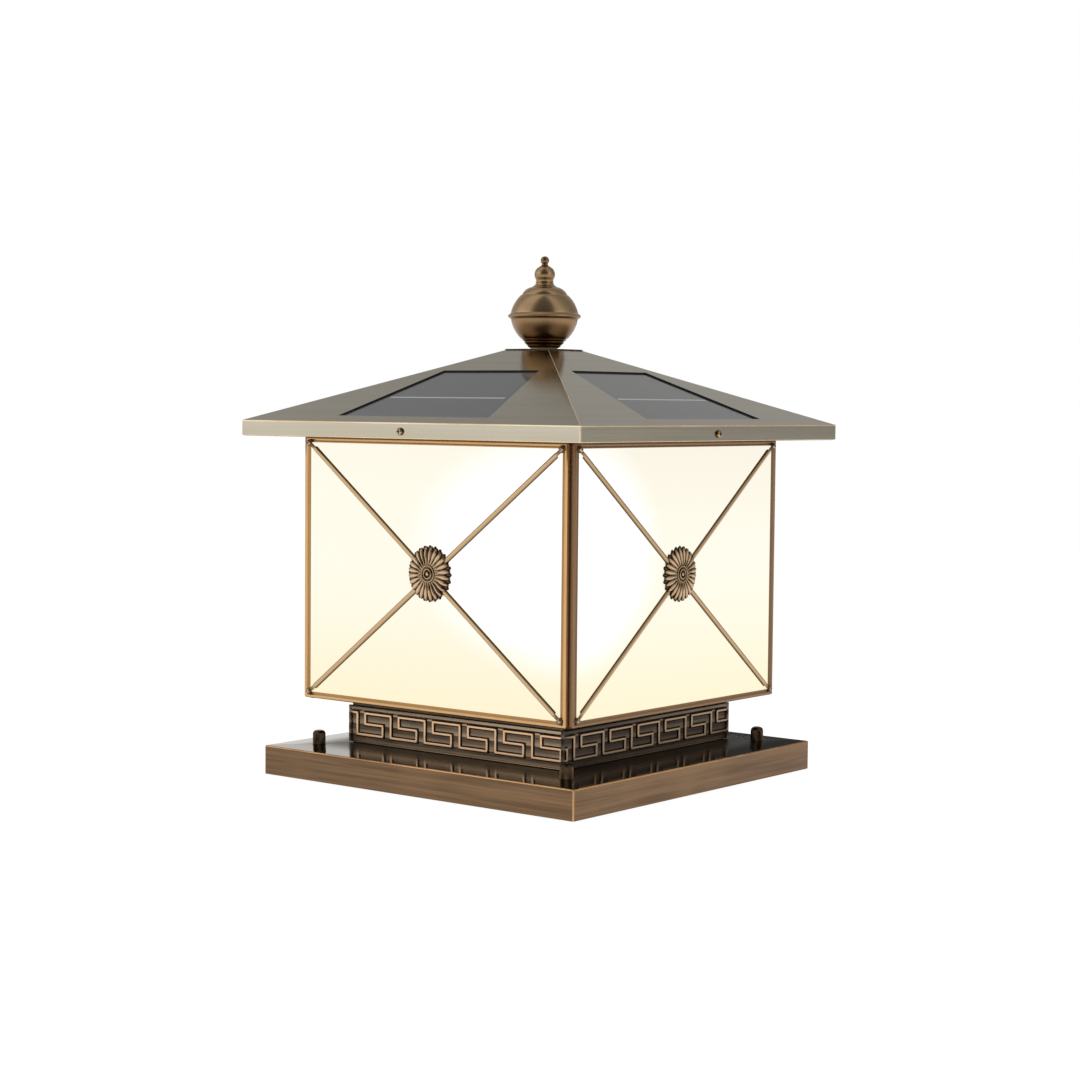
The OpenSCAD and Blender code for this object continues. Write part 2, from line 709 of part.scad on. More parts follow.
// Open tray on four feet on the stirrup's lower web: two cells in front, the
// switch behind. The lamp's lead passes between the feet.
box_wall = 1.2;
foot_rise = 3.4;
foot_w = 4;
cell_room = 6.5;
tray_w = stirrup_w - 2 * stirrup_t - 0.4;
switch_l = 20;
tray_y0 = -cell_l / 2 - cell_room;
tray_y1 = cell_l / 2 + cell_room + switch_l;
tray_z = stirrup_z0 + stirrup_t + foot_rise;
tray_h = 20;
module battery_box() color(black) {
    translate([-tray_w / 2, tray_y0, tray_z]) difference() {
        cube([tray_w, tray_y1 - tray_y0, tray_h]);
        translate([box_wall, box_wall, box_wall])
            cube([tray_w - 2 * box_wall, tray_y1 - tray_y0 - switch_l - 2 * box_wall, tray_h]);
        translate([box_wall, tray_y1 - tray_y0 - switch_l, box_wall])
            cube([tray_w - 2 * box_wall, switch_l - box_wall, tray_h]);
        // Window for the switch in the end wall
        translate([(tray_w - switch_w) / 2 - snug, tray_y1 - tray_y0 - box_wall - cut,
            (tray_h - switch_h) / 2 - snug])
            cube([switch_w + 2 * snug, box_wall + 2 * cut, switch_h + 2 * snug]);
    }
    for (x = [-1, 1], y = [-1, 1])
        translate([x * (tray_w / 2 - foot_w) - foot_w / 2, y * (stirrup_strip / 2 - foot_w) - foot_w / 2,
            tray_z - foot_rise]) cube([foot_w, foot_w, foot_rise]);
}

cell_cap_h = 1.5;
module battery_cells() color("forestgreen") {
    for (x = [-1, 1]) translate([x * (cell_d / 2 + 0.2), -cell_l / 2, tray_z + box_wall + cell_d / 2])
        rotate([-90, 0, 0]) {
            cylinder(d = cell_d, h = cell_l);
            translate([0, 0, cell_l]) cylinder(d = cell_d / 3, h = cell_cap_h);
        }
}

// Circuit board on spacers beside the stirrup's right leg, with its terminals
board_t = 1.6;
board_w = 56;
board_h = 30;
board_x = stirrup_w / 2 + 4;
board_z = tray_z + 2;
terminal_depth = 8;
module controller_board() color("darkgreen") {
    translate([board_x, -board_w / 2, board_z]) cube([board_t, board_w, board_h]);
    for (y = [-1, 1], z = [6, board_h - 6])
        translate([stirrup_w / 2, y * 10, board_z + z]) rotate([0, 90, 0]) cylinder(d = 5, h = 4, $fn = 32);
    translate([board_x + board_t, -board_w / 2 + 3, board_z + 2]) cube([terminal_depth, board_w - 6, 9]);
    translate([board_x + board_t, -8, board_z + 15]) cube([3, 16, 9]);
    for (y = [-18, 18]) translate([board_x + board_t, y, board_z + 20]) rotate([0, 90, 0])
        cylinder(d = 8, h = 6, $fn = 32);
}

// Snap-in rocker switch in the tray's end wall. The rocker turns on a pin
// through the housing's side walls.
switch_w = 19;
switch_h = 12.6;
switch_depth = 15;
bezel = 1.4;
bezel_t = 1.5;
switch_z = tray_z + tray_h / 2;
pivot_y = tray_y1 - 1.5;
pivot_r = 1;
rocker_w = switch_w - 2 * bezel - 0.6;
rocker_r = switch_h / 2 - bezel;
module switch_housing() color(black) {
    difference() {
        union() {
            translate([-switch_w / 2, tray_y1 - switch_depth, switch_z - switch_h / 2])
                cube([switch_w, switch_depth, switch_h]);
            translate([-switch_w / 2 - bezel, tray_y1, switch_z - switch_h / 2 - bezel])
                cube([switch_w + 2 * bezel, bezel_t, switch_h + 2 * bezel]);
        }
        translate([bezel - switch_w / 2, tray_y1 - switch_depth + 3, switch_z - switch_h / 2 + bezel / 2])
            cube([switch_w - 2 * bezel, switch_depth + bezel_t, switch_h - bezel]);
        translate([-switch_w / 2 - cut, pivot_y, switch_z]) rotate([0, 90, 0])
            cylinder(r = pivot_r + running_fit, h = switch_w + 2 * cut, $fn = 32);
    }
}

// The rocker's section: a round back on the pivot and a shallow V in front
module switch_rocker() color("firebrick") {
    front = 4.2;
    dip = 1.6;
    translate([-rocker_w / 2, pivot_y, switch_z]) rotate([90, 0, 90]) linear_extrude(rocker_w)
        polygon(concat(
            arc(0, 0, rocker_r, 90, 270, 16),
            [[front, -rocker_r * 0.8], [front - dip, 0], [front, rocker_r * 0.8]]));
    translate([-switch_w / 2 + bezel / 4, pivot_y, switch_z]) rotate([0, 90, 0])
        cylinder(r = pivot_r, h = switch_w - bezel / 2, $fn = 32);
}

// LAMP

bulb_z = box_z0 + bulb_height;
holder_z0 = bulb_z + bulb_neck;
holder_z1 = holder_z0 + holder_l;
tube_bore_r = tube_d / 2 - 1.2;
flange_t = 2;
// Height of the web between the bulb's bore and the tube's, above the mouth
holder_bore_z = cap_l + 8;
module lamp_tube() color(steel) {
    difference() {
        union() {
            translate([0, 0, holder_z1]) cylinder(d = tube_d, h = stirrup_z0 - holder_z1);
            translate([0, 0, stirrup_z0 - flange_t]) cylinder(r = tube_d, h = flange_t);
        }
        translate([0, 0, holder_z1 - cut]) cylinder(r = tube_bore_r, h = stirrup_z0 - holder_z1 + 2 * cut);
    }
}

module lamp_holder() color([0.93, 0.92, 0.88]) {
    shoulder = 6;
    translate([0, 0, holder_z0]) difference() {
        rotate_extrude() polygon(concat(
            [[0, 0], [holder_d / 2, 0]],
            arc(holder_d / 2 - shoulder, holder_l - shoulder, shoulder, 0, 90, 6),
            [[0, holder_l]]));
        translate([0, 0, -cut]) cylinder(r = cap_d / 2 + running_fit, h = cap_l + 2 * cut);
        translate([0, 0, holder_bore_z]) cylinder(r = tube_bore_r, h = holder_l);
    }
}

module bulb_cap() color(steel) {
    translate([0, 0, holder_z0]) rotate_extrude() polygon([
        [0, 0], [cap_d / 2, 0], [cap_d / 2, cap_l - 5], [cap_d / 4, cap_l - 1], [4, cap_l], [0, cap_l]]);
}

// Round globe that narrows to a collar just below the holder
collar_r = cap_d / 2 + 2.5;
module bulb_globe() color(opal) {
    r = bulb_d / 2;
    join = asin((collar_r + 1) / r);
    rotate_extrude() polygon(concat(
        [[0, holder_z0], [cap_d / 2, holder_z0], [cap_d / 2, holder_z0 - seat],
         [collar_r, holder_z0 - seat], [collar_r + 1, bulb_z + r * cos(join) + 4]],
        arc(0, bulb_z, r, 90 - join, -90, 24)));
}

// LEADS

// A lead along straight runs between the given points: an eight-sided tube
// with a ring at each point, square to the bisector of the runs there
lead_r = 1.1;
lead_sides = 8;
function unit(v) = v / norm(v);
function along(points, i) = unit(
    (i > 0 ? unit(points[i] - points[i - 1]) : [0, 0, 0])
    + (i < len(points) - 1 ? unit(points[i + 1] - points[i]) : [0, 0, 0]));
// Side vectors of the rings, each carried on from the one before without twist
function carried(points, i, u) = i == len(points) ? [] : let (
    d = along(points, i),
    side = unit(u - (u * d) * d))
    concat([side], carried(points, i + 1, side));
module lead(points) {
    last = len(points) - 1;
    start = abs(along(points, 0).z) > 0.9 ? [1, 0, 0] : [0, 0, 1];
    us = carried(points, 0, start);
    rings = [for (i = [0 : last]) let (v = cross(along(points, i), us[i]))
        for (k = [0 : lead_sides - 1]) let (a = 360 * k / lead_sides)
            points[i] + lead_r * (cos(a) * us[i] + sin(a) * v)];
    walls = [for (i = [0 : last - 1], k = [0 : lead_sides - 1])
        let (m = (k + 1) % lead_sides, a = i * lead_sides, b = a + lead_sides)
        [a + m, a + k, b + k, b + m]];
    polyhedron(
        points = rings,
        faces = concat(
            [[for (k = [0 : lead_sides - 1]) k]], walls,
            [[for (k = [lead_sides - 1 : -1 : 0]) last * lead_sides + k]]));
}

// Middle of each terminal box's lower face: distance from the axis and height
terminal_run = roof_w / 2 - (terminal_y + terminal_h / 2) * cos(slope_angle)
    + (panel_z - terminal_t) * sin(slope_angle);
terminal_z = fascia_z1 + (terminal_y + terminal_h / 2) * sin(slope_angle)
    + (panel_z - terminal_t) * cos(slope_angle);
plug_x = board_x + board_t + terminal_depth;
module leads() color(black) {
    start_z = terminal_z - lead_r - snug;
    end_x = plug_x + snug;
    panel_row = board_z + 8;
    lamp_row = board_z + 4;
    // From each panel to the controller's upper terminals
    lead([[terminal_run, 0, start_z], [plug_x + 12, 0, panel_row], [end_x, 0, panel_row]]);
    lead([[0, -terminal_run, start_z], [plug_x + 10, -45, panel_row], [plug_x + 6, -8, panel_row],
        [end_x, -8, panel_row]]);
    lead([[0, terminal_run, start_z], [plug_x + 10, tray_y1 + 15, panel_row], [plug_x + 6, 8, panel_row],
        [end_x, 8, panel_row]]);
    lead([[-terminal_run, 0, start_z], [-50, -40, panel_row], [0, tray_y0 - 20, panel_row],
        [plug_x + 4, -30, panel_row], [plug_x + 4, -16, panel_row], [end_x, -16, panel_row]]);
    // From a battery cell, up over the tray's wall
    contact_y = cell_l / 2 + cell_cap_h + lead_r + snug;
    over_z = tray_z + tray_h + lead_r + 1;
    lead([[cell_d / 2, contact_y, tray_z + box_wall + cell_d / 2], [cell_d / 2, contact_y, over_z],
        [board_x + 6, contact_y, over_z], [plug_x + 4, 20, lamp_row], [end_x, 20, lamp_row]]);
    // From the lamp holder, up the tube and out between the tray's feet
    under_z = stirrup_z0 + stirrup_t + foot_rise / 2;
    lead([[0, 0, holder_z0 + holder_bore_z + snug], [0, 0, under_z], [0, -stirrup_strip / 2 - 5, under_z],
        [plug_x + 6, -36, under_z], [plug_x + 6, -22, lamp_row], [end_x, -22, lamp_row]]);
}

// FINIAL

belt_z = roof_z1 + bowl_h;
belt_t = 1.4;
foot_r = 10;
foot_h = 2.4;
sheet = 1;
rod_bore_r = rod_d / 2 + snug;

// Foot, ringed neck and spun bowl with the belt's lower flange
bowl_z0 = roof_z1 + foot_h;
module finial_bowl() color(bronze) {
    bowl_mid = belt_z + 1.9;
    a0 = -asin(min(0.99, (bowl_mid - bowl_z0 - 2) / bowl_r));
    a1 = -asin((bowl_mid - belt_z + belt_t) / bowl_r);
    difference() {
        rotate_extrude() polygon(concat(
            [[rod_bore_r, roof_z1], [foot_r, roof_z1], [foot_r, bowl_z0]],
            arc(0, bowl_mid, bowl_r, a0, a1, 12),
            [[belt_r - belt_t / 2, belt_z - belt_t], [belt_r, belt_z - belt_t / 2], [belt_r, belt_z],
             [bowl_r - 4, belt_z]],
            arc(0, bowl_mid, bowl_r - 2 * sheet, a1, a0 * 0.88, 12),
            [[rod_bore_r, bowl_z0 + 3]]));
        translate([0, 0, roof_z1 - cut]) cylinder(r = rod_bore_r, h = bowl_h);
    }
}

// Spun dome with the belt's upper flange, a step and a smaller cap
step_z = belt_z + dome_h * 0.76;
module finial_dome() color(bronze) {
    dome_mid = belt_z - 2.7;
    dome_r = bowl_r - 0.3;
    a0 = asin((belt_z + belt_t - dome_mid) / dome_r);
    a1 = asin((step_z - dome_mid) / dome_r);
    step_r = dome_r * cos(a1);
    cap_z1 = belt_z + dome_h;
    rotate_extrude() polygon(concat(
        [[bowl_r - 4, belt_z], [belt_r, belt_z], [belt_r, belt_z + belt_t / 2],
         [belt_r - belt_t / 2, belt_z + belt_t]],
        arc(0, dome_mid, dome_r, a0, a1, 12),
        [[step_r - 1.6, step_z + 0.4]],
        [[step_r - 5, step_z + 4.2], [step_r - 9, cap_z1 - 0.4]],
        [[step_r - 11.4, cap_z1], [rod_bore_r, cap_z1], [rod_bore_r, cap_z1 - 3], [step_r - 9, step_z - 1]],
        arc(0, dome_mid, dome_r - 2 * sheet, a1, a0, 12)));
}

// Turned knob with a bead on a thin neck
knob_z0 = belt_z + dome_h;
module finial_knob() color(bronze) {
    top = knob_z0 + knob_h;
    bead_z = top - bead_r;
    knob_z = knob_z0 + knob_h * 0.43;
    neck_r = 2.3;
    shoulder = knob_r * 0.76;
    difference() {
        rotate_extrude() polygon(concat(
            [[0, knob_z0], [knob_r + 1.2, knob_z0], [shoulder, knob_z0 + 3.4], [shoulder, knob_z0 + 5.4]],
            arc(knob_r - 5, knob_z, 5, -40, 40, 8),
            [[neck_r + 1.6, bead_z - bead_r - 3.5], [neck_r, bead_z - bead_r]],
            arc(0, bead_z, bead_r, -50, 90, 10)));
        translate([0, 0, knob_z0 - cut]) cylinder(r = rod_bore_r, h = 8 + cut);
    }
}

// Threaded rod from the knob down to the nut under the roof's flat top
rod_z0 = stirrup_z1 - stirrup_t - rod_nut_h - 3;
module finial_rod() color(steel) {
    translate([0, 0, rod_z0]) cylinder(d = rod_d, h = knob_z0 + 7 - rod_z0);
}

base_plate();
mounting_bracket();
for (i = [0 : 3]) cap_nut(i);
pedestal_shell();
for (i = [0 : 3]) key_band(i);
floor_plate();
corner_posts();
box_screws();
for (i = [0 : 3]) panel_frame(i);
for (i = [0 : 3]) glass_pane(i);
glass_clips();
for (i = [0 : 3]) cross_bars(i);
bar_screws();
for (i = [0 : 3]) rosette(i);
ceiling_plate();
roof_shell();
for (i = [0 : 3]) solar_panel(i);
panel_seals();
panel_clips();
fascia_nuts();
for (i = [0 : 3]) fascia_screw(i);
inner_bracket();
battery_box();
battery_cells();
controller_board();
switch_housing();
switch_rocker();
lamp_tube();
lamp_holder();
bulb_cap();
bulb_globe();
leads();
finial_bowl();
finial_dome();
finial_knob();
finial_rod();
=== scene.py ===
"""Visual model of a solar pillar light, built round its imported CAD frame.

Every size is in millimetres until a piece is finished, when it is scaled to
metres. The front of the light faces -Y and the light stands on Z = 0.
"""

from __future__ import annotations

import logging
import math
from collections.abc import Callable, Iterable, Sequence
from dataclasses import dataclass, field
from enum import Enum

import bmesh
import bpy
from mathutils import Matrix, Vector

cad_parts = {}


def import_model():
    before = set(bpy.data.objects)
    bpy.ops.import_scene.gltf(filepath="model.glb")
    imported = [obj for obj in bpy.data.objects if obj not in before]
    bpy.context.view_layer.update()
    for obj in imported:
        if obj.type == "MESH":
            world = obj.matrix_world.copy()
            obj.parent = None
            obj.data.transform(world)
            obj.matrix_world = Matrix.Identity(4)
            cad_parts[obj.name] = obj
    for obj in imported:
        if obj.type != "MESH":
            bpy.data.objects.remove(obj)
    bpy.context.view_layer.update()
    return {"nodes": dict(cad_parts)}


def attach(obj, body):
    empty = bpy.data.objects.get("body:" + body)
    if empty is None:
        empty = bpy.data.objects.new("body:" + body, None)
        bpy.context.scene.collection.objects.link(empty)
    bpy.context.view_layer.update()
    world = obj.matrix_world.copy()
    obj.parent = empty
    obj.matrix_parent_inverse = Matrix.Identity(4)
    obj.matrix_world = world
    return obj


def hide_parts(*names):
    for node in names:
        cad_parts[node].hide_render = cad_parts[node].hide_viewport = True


log = logging.getLogger("pillar_light")

MM = 0.001  # Metres in a millimetre.
TOUCH = 0.1  # What lies this near a plane counts as on it.
WELD = 0.001  # Vertices this near each other are one.
Point = tuple[float, float, float]
Flat = list[tuple[float, float]]
Colour = tuple[float, float, float, float]
Test = Callable[[Vector, Vector], bool]


def spun(degrees: float, axis: str) -> Matrix:
    """A turn in degrees about one axis through the origin."""
    return Matrix.Rotation(math.radians(degrees), 4, axis)


def moved(x: float, y: float, z: float) -> Matrix:
    """A move along the three axes."""
    return Matrix.Translation(Vector((x, y, z)))


class Quarter(Enum):
    """One of four places, each a quarter turn past the one before."""

    @property
    def label(self) -> str:
        """The place's name as the CAD nodes write it."""
        return self.name.lower()

    @property
    def turn(self) -> Matrix:
        """The rotation that carries a piece here from the first place."""
        return spun(90 * self.value, "Z")


class Side(Quarter):
    """The four sides of the light, with the turn from the front in quarters."""

    FRONT = 0
    RIGHT = 1
    BACK = 2
    LEFT = 3

    @property
    def aged(self) -> bool:
        """Whether this side is painted with its own light and shade: duller bronze than the front's, with
        lighter frame stiles.
        """
        return self in (Side.RIGHT, Side.LEFT)


class Corner(Quarter):
    """The four corners of the light, with the turn from the front left."""

    FRONT_LEFT = 0
    FRONT_RIGHT = 1
    BACK_RIGHT = 2
    BACK_LEFT = 3


class Kind(Enum):
    """What an edit-mode selection is made of."""

    VERT = "VERT"
    EDGE = "EDGE"
    FACE = "FACE"


def tone(red: float, green: float, blue: float) -> Colour:
    """Turns a colour as a screen shows it into a linear one.

    Args:
        red: Red, from 0 to 255.
        green: Green, from 0 to 255.
        blue: Blue, from 0 to 255.

    Returns:
        The linear colour with full alpha.
    """

    def linear(value: float) -> float:
        """One channel made linear."""
        share = value / 255
        return share / 12.92 if share <= 0.04045 else ((share + 0.055) / 1.055) ** 2.4

    return (linear(red), linear(green), linear(blue), 1.0)


def ramp_between(value: float, low: float, high: float) -> float:
    """The share, from 0 to 1, that a value has smoothly risen from low to high."""
    share = min(1.0, max(0.0, (value - low) / (high - low)))
    return share * share * (3 - 2 * share)


class Signal:
    """A shader socket that can be used in arithmetic."""

    def __init__(self, recipe: "Recipe", socket: bpy.types.NodeSocket) -> None:
        """Wraps one output socket of a recipe."""
        self.recipe = recipe
        self.socket = socket

    def _math(self, operation: str, first: object, second: object) -> "Signal":
        """Adds one Math node on two values or signals."""
        node = self.recipe.node("ShaderNodeMath", {"operation": operation}, {0: first, 1: second})
        return Signal(self.recipe, node.outputs[0])

    def __add__(self, other: object) -> "Signal":
        """self + other."""
        return self._math("ADD", self, other)

    __radd__ = __add__

    def __sub__(self, other: object) -> "Signal":
        """self - other."""
        return self._math("SUBTRACT", self, other)

    def __rsub__(self, other: object) -> "Signal":
        """other - self."""
        return self._math("SUBTRACT", other, self)

    def __mul__(self, other: object) -> "Signal":
        """self * other."""
        return self._math("MULTIPLY", self, other)

    __rmul__ = __mul__

    def __truediv__(self, other: object) -> "Signal":
        """self / other."""
        return self._math("DIVIDE", self, other)

    def __pow__(self, other: object) -> "Signal":
        """self to the power of other."""
        return self._math("POWER", self, other)

    def __gt__(self, other: object) -> "Signal":
        """1 where self is over other, and 0 elsewhere."""
        return self._math("GREATER_THAN", self, other)

    def __abs__(self) -> "Signal":
        """The size of self without its sign."""
        return self._math("ABSOLUTE", self, 0.0)

    def highest(self, other: object) -> "Signal":
        """The larger of self and other."""
        return self._math("MAXIMUM", self, other)

    def lowest(self, other: object) -> "Signal":
        """The smaller of self and other."""
        return self._math("MINIMUM", self, other)

    def part(self) -> "Signal":
        """What self has past its last whole number."""
        return self._math("FRACT", self, 0.0)

    def bearing(self, other: object) -> "Signal":
        """The angle whose tangent is self over other, in radians."""
        return self._math("ARCTAN2", self, other)

    def wave(self, period: float) -> "Signal":
        """0 in the middle of each period and 0.5 at its ends."""
        return abs((self / period).part() - 0.5)

    def rise(self, low: float, high: float) -> "Signal":
        """Rises smoothly from 0 at low to 1 at high, or falls if low is higher.

        Args:
            low: Where the result is 0.
            high: Where the result is 1.

        Returns:
            The smoothed share.
        """
        node = self.recipe.node(
            "ShaderNodeMapRange",
            {"interpolation_type": "SMOOTHSTEP", "clamp": True},
            {0: self, 1: min(low, high), 2: max(low, high), 3: float(low > high), 4: float(low < high)},
        )
        return Signal(self.recipe, node.outputs[0])


class Recipe:
    """A material, or the world, under construction node by node."""

    def __init__(self, name: str, of_world: bool = False) -> None:
        """Starts an empty node tree.

        Args:
            name: The material's or the world's name.
            of_world: Whether the tree is a world's.
        """
        self.owner = (bpy.data.worlds if of_world else bpy.data.materials).new(name)
        self.owner.use_nodes = True
        self.tree = self.owner.node_tree
        self.tree.nodes.clear()
        self.output = self.node("ShaderNodeOutputWorld" if of_world else "ShaderNodeOutputMaterial")

    def node(self, kind: str, settings: dict | None = None, sockets: dict | None = None) -> bpy.types.Node:
        """Adds any node, sets it up and joins its inputs.

        Args:
            kind: The node's type.
            settings: Its properties; "stops" fills a colour ramp with pairs of
                place and colour.
            sockets: Values or signals for its inputs, by name or number.

        Returns:
            The new node.
        """
        node = self.tree.nodes.new(kind)
        for name, value in (settings or {}).items():
            if name == "stops":
                elements = node.color_ramp.elements
                while len(elements) > 1:
                    elements.remove(elements[-1])
                for number, (place, colour) in enumerate(value):
                    element = elements[0] if number == 0 else elements.new(place)
                    element.position = place
                    element.color = colour
            else:
                setattr(node, name, value)
        for name, value in (sockets or {}).items():
            if isinstance(value, Signal):
                self.tree.links.new(value.socket, node.inputs[name])
            else:
                node.inputs[name].default_value = value
        return node

    def signal(
        self, kind: str, out: str | int, settings: dict | None = None, sockets: dict | None = None
    ) -> Signal:
        """Adds a node as node does, and gives the named or numbered output."""
        return Signal(self, self.node(kind, settings, sockets).outputs[out])

    def place(self) -> Signal:
        """The point on the object, in metres."""
        return self.signal("ShaderNodeTexCoord", "Object")

    def axes(self, vector: Signal) -> tuple[Signal, Signal, Signal]:
        """A vector's X, Y and Z."""
        node = self.node("ShaderNodeSeparateXYZ", None, {0: vector})
        return tuple(Signal(self, node.outputs[i]) for i in range(3))

    def vector(self, x: object, y: object, z: object) -> Signal:
        """Joins three values or signals into a vector."""
        return self.signal("ShaderNodeCombineXYZ", 0, None, {0: x, 1: y, 2: z})

    def noise(self, vector: Signal, scale: float, detail: float, roughness: float) -> Signal:
        """Smooth noise round 0.5, read at a vector."""
        sockets = {"Vector": vector, "Scale": scale, "Detail": detail, "Roughness": roughness}
        return self.signal("ShaderNodeTexNoise", 0, None, sockets)

    def attribute(self, name: str) -> Signal:
        """A number stored on the mesh."""
        return self.signal("ShaderNodeAttribute", "Fac", {"attribute_name": name})

    def mix(self, first: object, second: object, share: object) -> Signal:
        """Mixes two colours: the first where the share is 0, the second where it is 1."""
        return self.signal("ShaderNodeMix", 2, {"data_type": "RGBA"}, {0: share, 6: first, 7: second})

    def ramp(self, value: Signal, stops: Sequence[tuple[float, Colour]]) -> Signal:
        """Reads a colour ramp, given as pairs of place and colour."""
        return self.signal("ShaderNodeValToRGB", 0, {"stops": stops}, {0: value})

    def bump(self, height: Signal, depth: float, strength: float) -> Signal:
        """The normal bumped by a height from 0 to 1, where 1 is the depth in metres."""
        sockets = {"Strength": strength, "Distance": depth, "Height": height}
        return self.signal("ShaderNodeBump", 0, None, sockets)

    def looked_at(self) -> Signal:
        """Tells what is looked at from what only lights the object.

        Returns:
            1 where the eye sees this straight, in a mirror or through glass.
        """
        rays = self.node("ShaderNodeLightPath")
        seen = Signal(self, rays.outputs["Is Camera Ray"])
        for name in ("Is Glossy Ray", "Is Transmission Ray"):
            seen = seen.highest(Signal(self, rays.outputs[name]))
        return seen

    def end(self, shader: bpy.types.Node) -> bpy.types.Material:
        """Joins the last shader to the output."""
        self.tree.links.new(shader.outputs[0], self.output.inputs[0])
        return self.owner

    def principled(self, sockets: dict[str, object]) -> bpy.types.Material:
        """Ends the material with one Principled BSDF."""
        return self.end(self.node("ShaderNodeBsdfPrincipled", None, sockets))

    def grain(self, along: float, across: float) -> Signal:
        """A point stretched along the level direction of the face it is on.

        Args:
            along: Repeats per metre along the brushed lines.
            across: Repeats per metre across them.

        Returns:
            The stretched point.
        """
        x, y, z = self.axes(self.place())
        nx, ny, _ = self.axes(self.signal("ShaderNodeNewGeometry", "True Normal"))
        turned = abs(nx) > abs(ny)
        run = x + (y - x) * turned
        deep = y + (x - y) * turned
        return self.vector(run * along, deep * across, z * across)


@dataclass(frozen=True)
class Finish:
    """A named finish, which makes one material."""

    name: str

    def make(self) -> bpy.types.Material:
        """Builds the material."""
        raise NotImplementedError(self.name)


@dataclass(frozen=True)
class Window:
    """The opening in a slope, in millimetres up the slope and out from its middle."""

    low: float = 15.0
    high: float = 131.5
    half_low: float = 89.0
    half_high: float = 57.0

    @property
    def lean(self) -> float:
        """How much narrower each half is, a millimetre further up."""
        return (self.half_low - self.half_high) / (self.high - self.low)


@dataclass(frozen=True)
class BrushedSheet(Finish):
    """Sheet metal with fine level brushing under a clear lacquer."""

    tint: Colour
    streak: Colour
    bloom: Colour
    roughness: float = 0.3
    swing: float = 0.12
    along: float = 7.0
    across: float = 420.0
    depth: float = 0.00002

    def make(self) -> bpy.types.Material:
        """Builds the material.

        Returns:
            The material.
        """
        recipe = Recipe(self.name)
        fine = recipe.noise(recipe.grain(self.along, self.across), 1.0, 3.0, 0.65)
        broad = recipe.noise(recipe.grain(self.along * 0.4, self.across * 0.16), 1.0, 2.0, 0.5)
        cloud = recipe.noise(recipe.place(), 9.0, 2.0, 0.5)
        lines = (fine * 0.6 + broad * 0.4).rise(0.33, 0.67)
        colour = recipe.mix(self.streak, self.tint, lines)
        colour = recipe.mix(colour, self.bloom, cloud.rise(0.45, 0.8) * 0.45)
        return recipe.principled({
            "Base Color": colour,
            "Metallic": 1.0,
            "Roughness": self.roughness + (fine - 0.5) * self.swing,
            "Normal": recipe.bump(fine, self.depth, 0.3),
        })


@dataclass(frozen=True)
class WornEdge(Finish):
    """Copper painted bright on folded edges: a painted highlight along each fold."""

    bright: Colour
    dull: Colour
    roughness: float = 0.28
    metallic: float = 0.75

    def make(self) -> bpy.types.Material:
        """Builds the material.

        Returns:
            The material.
        """
        recipe = Recipe(self.name)
        long_patches = recipe.noise(recipe.place(), 14.0, 3.0, 0.6)
        nicks = recipe.noise(recipe.place(), 260.0, 2.0, 0.6)
        share = long_patches.rise(0.35, 0.6) * 0.75 + nicks.rise(0.4, 0.7) * 0.25
        return recipe.principled({
            "Base Color": recipe.mix(self.dull, self.bright, share),
            "Metallic": self.metallic,
            "Roughness": self.roughness + nicks * 0.12,
            "Normal": recipe.bump(nicks, 0.00003, 0.6),
        })


@dataclass(frozen=True)
class MirrorSheet(Finish):
    """Lacquered sheet, polished until it mirrors what stands on it.

    Close to the foot of what stands on it the polish is rougher and its colour darker, as painted shade.
    """

    tint: Colour
    haze: Colour
    grime: Colour
    roughness: float = 0.1
    foot: float = 0.1285
    fade: float = 0.046

    def make(self) -> bpy.types.Material:
        """Builds the material.

        Returns:
            The material.
        """
        recipe = Recipe(self.name)
        haze = recipe.noise(recipe.place(), 22.0, 3.0, 0.55)
        hairs = recipe.noise(recipe.grain(16.0, 900.0), 1.0, 2.0, 0.6)
        x, y, _ = recipe.axes(recipe.place())
        # Painted shade round the foot of what stands on the sheet.
        near = (x * x).highest(y * y).rise((self.foot + self.fade) ** 2, self.foot ** 2)
        colour = recipe.mix(self.tint, self.haze, haze.rise(0.4, 0.75) * 0.5 + hairs * 0.2)
        return recipe.principled({
            "Base Color": recipe.mix(colour, self.grime, near * 0.6),
            "Metallic": 1.0,
            "Roughness": self.roughness + haze.rise(0.5, 0.8) * 0.012 + near * 0.3,
        })


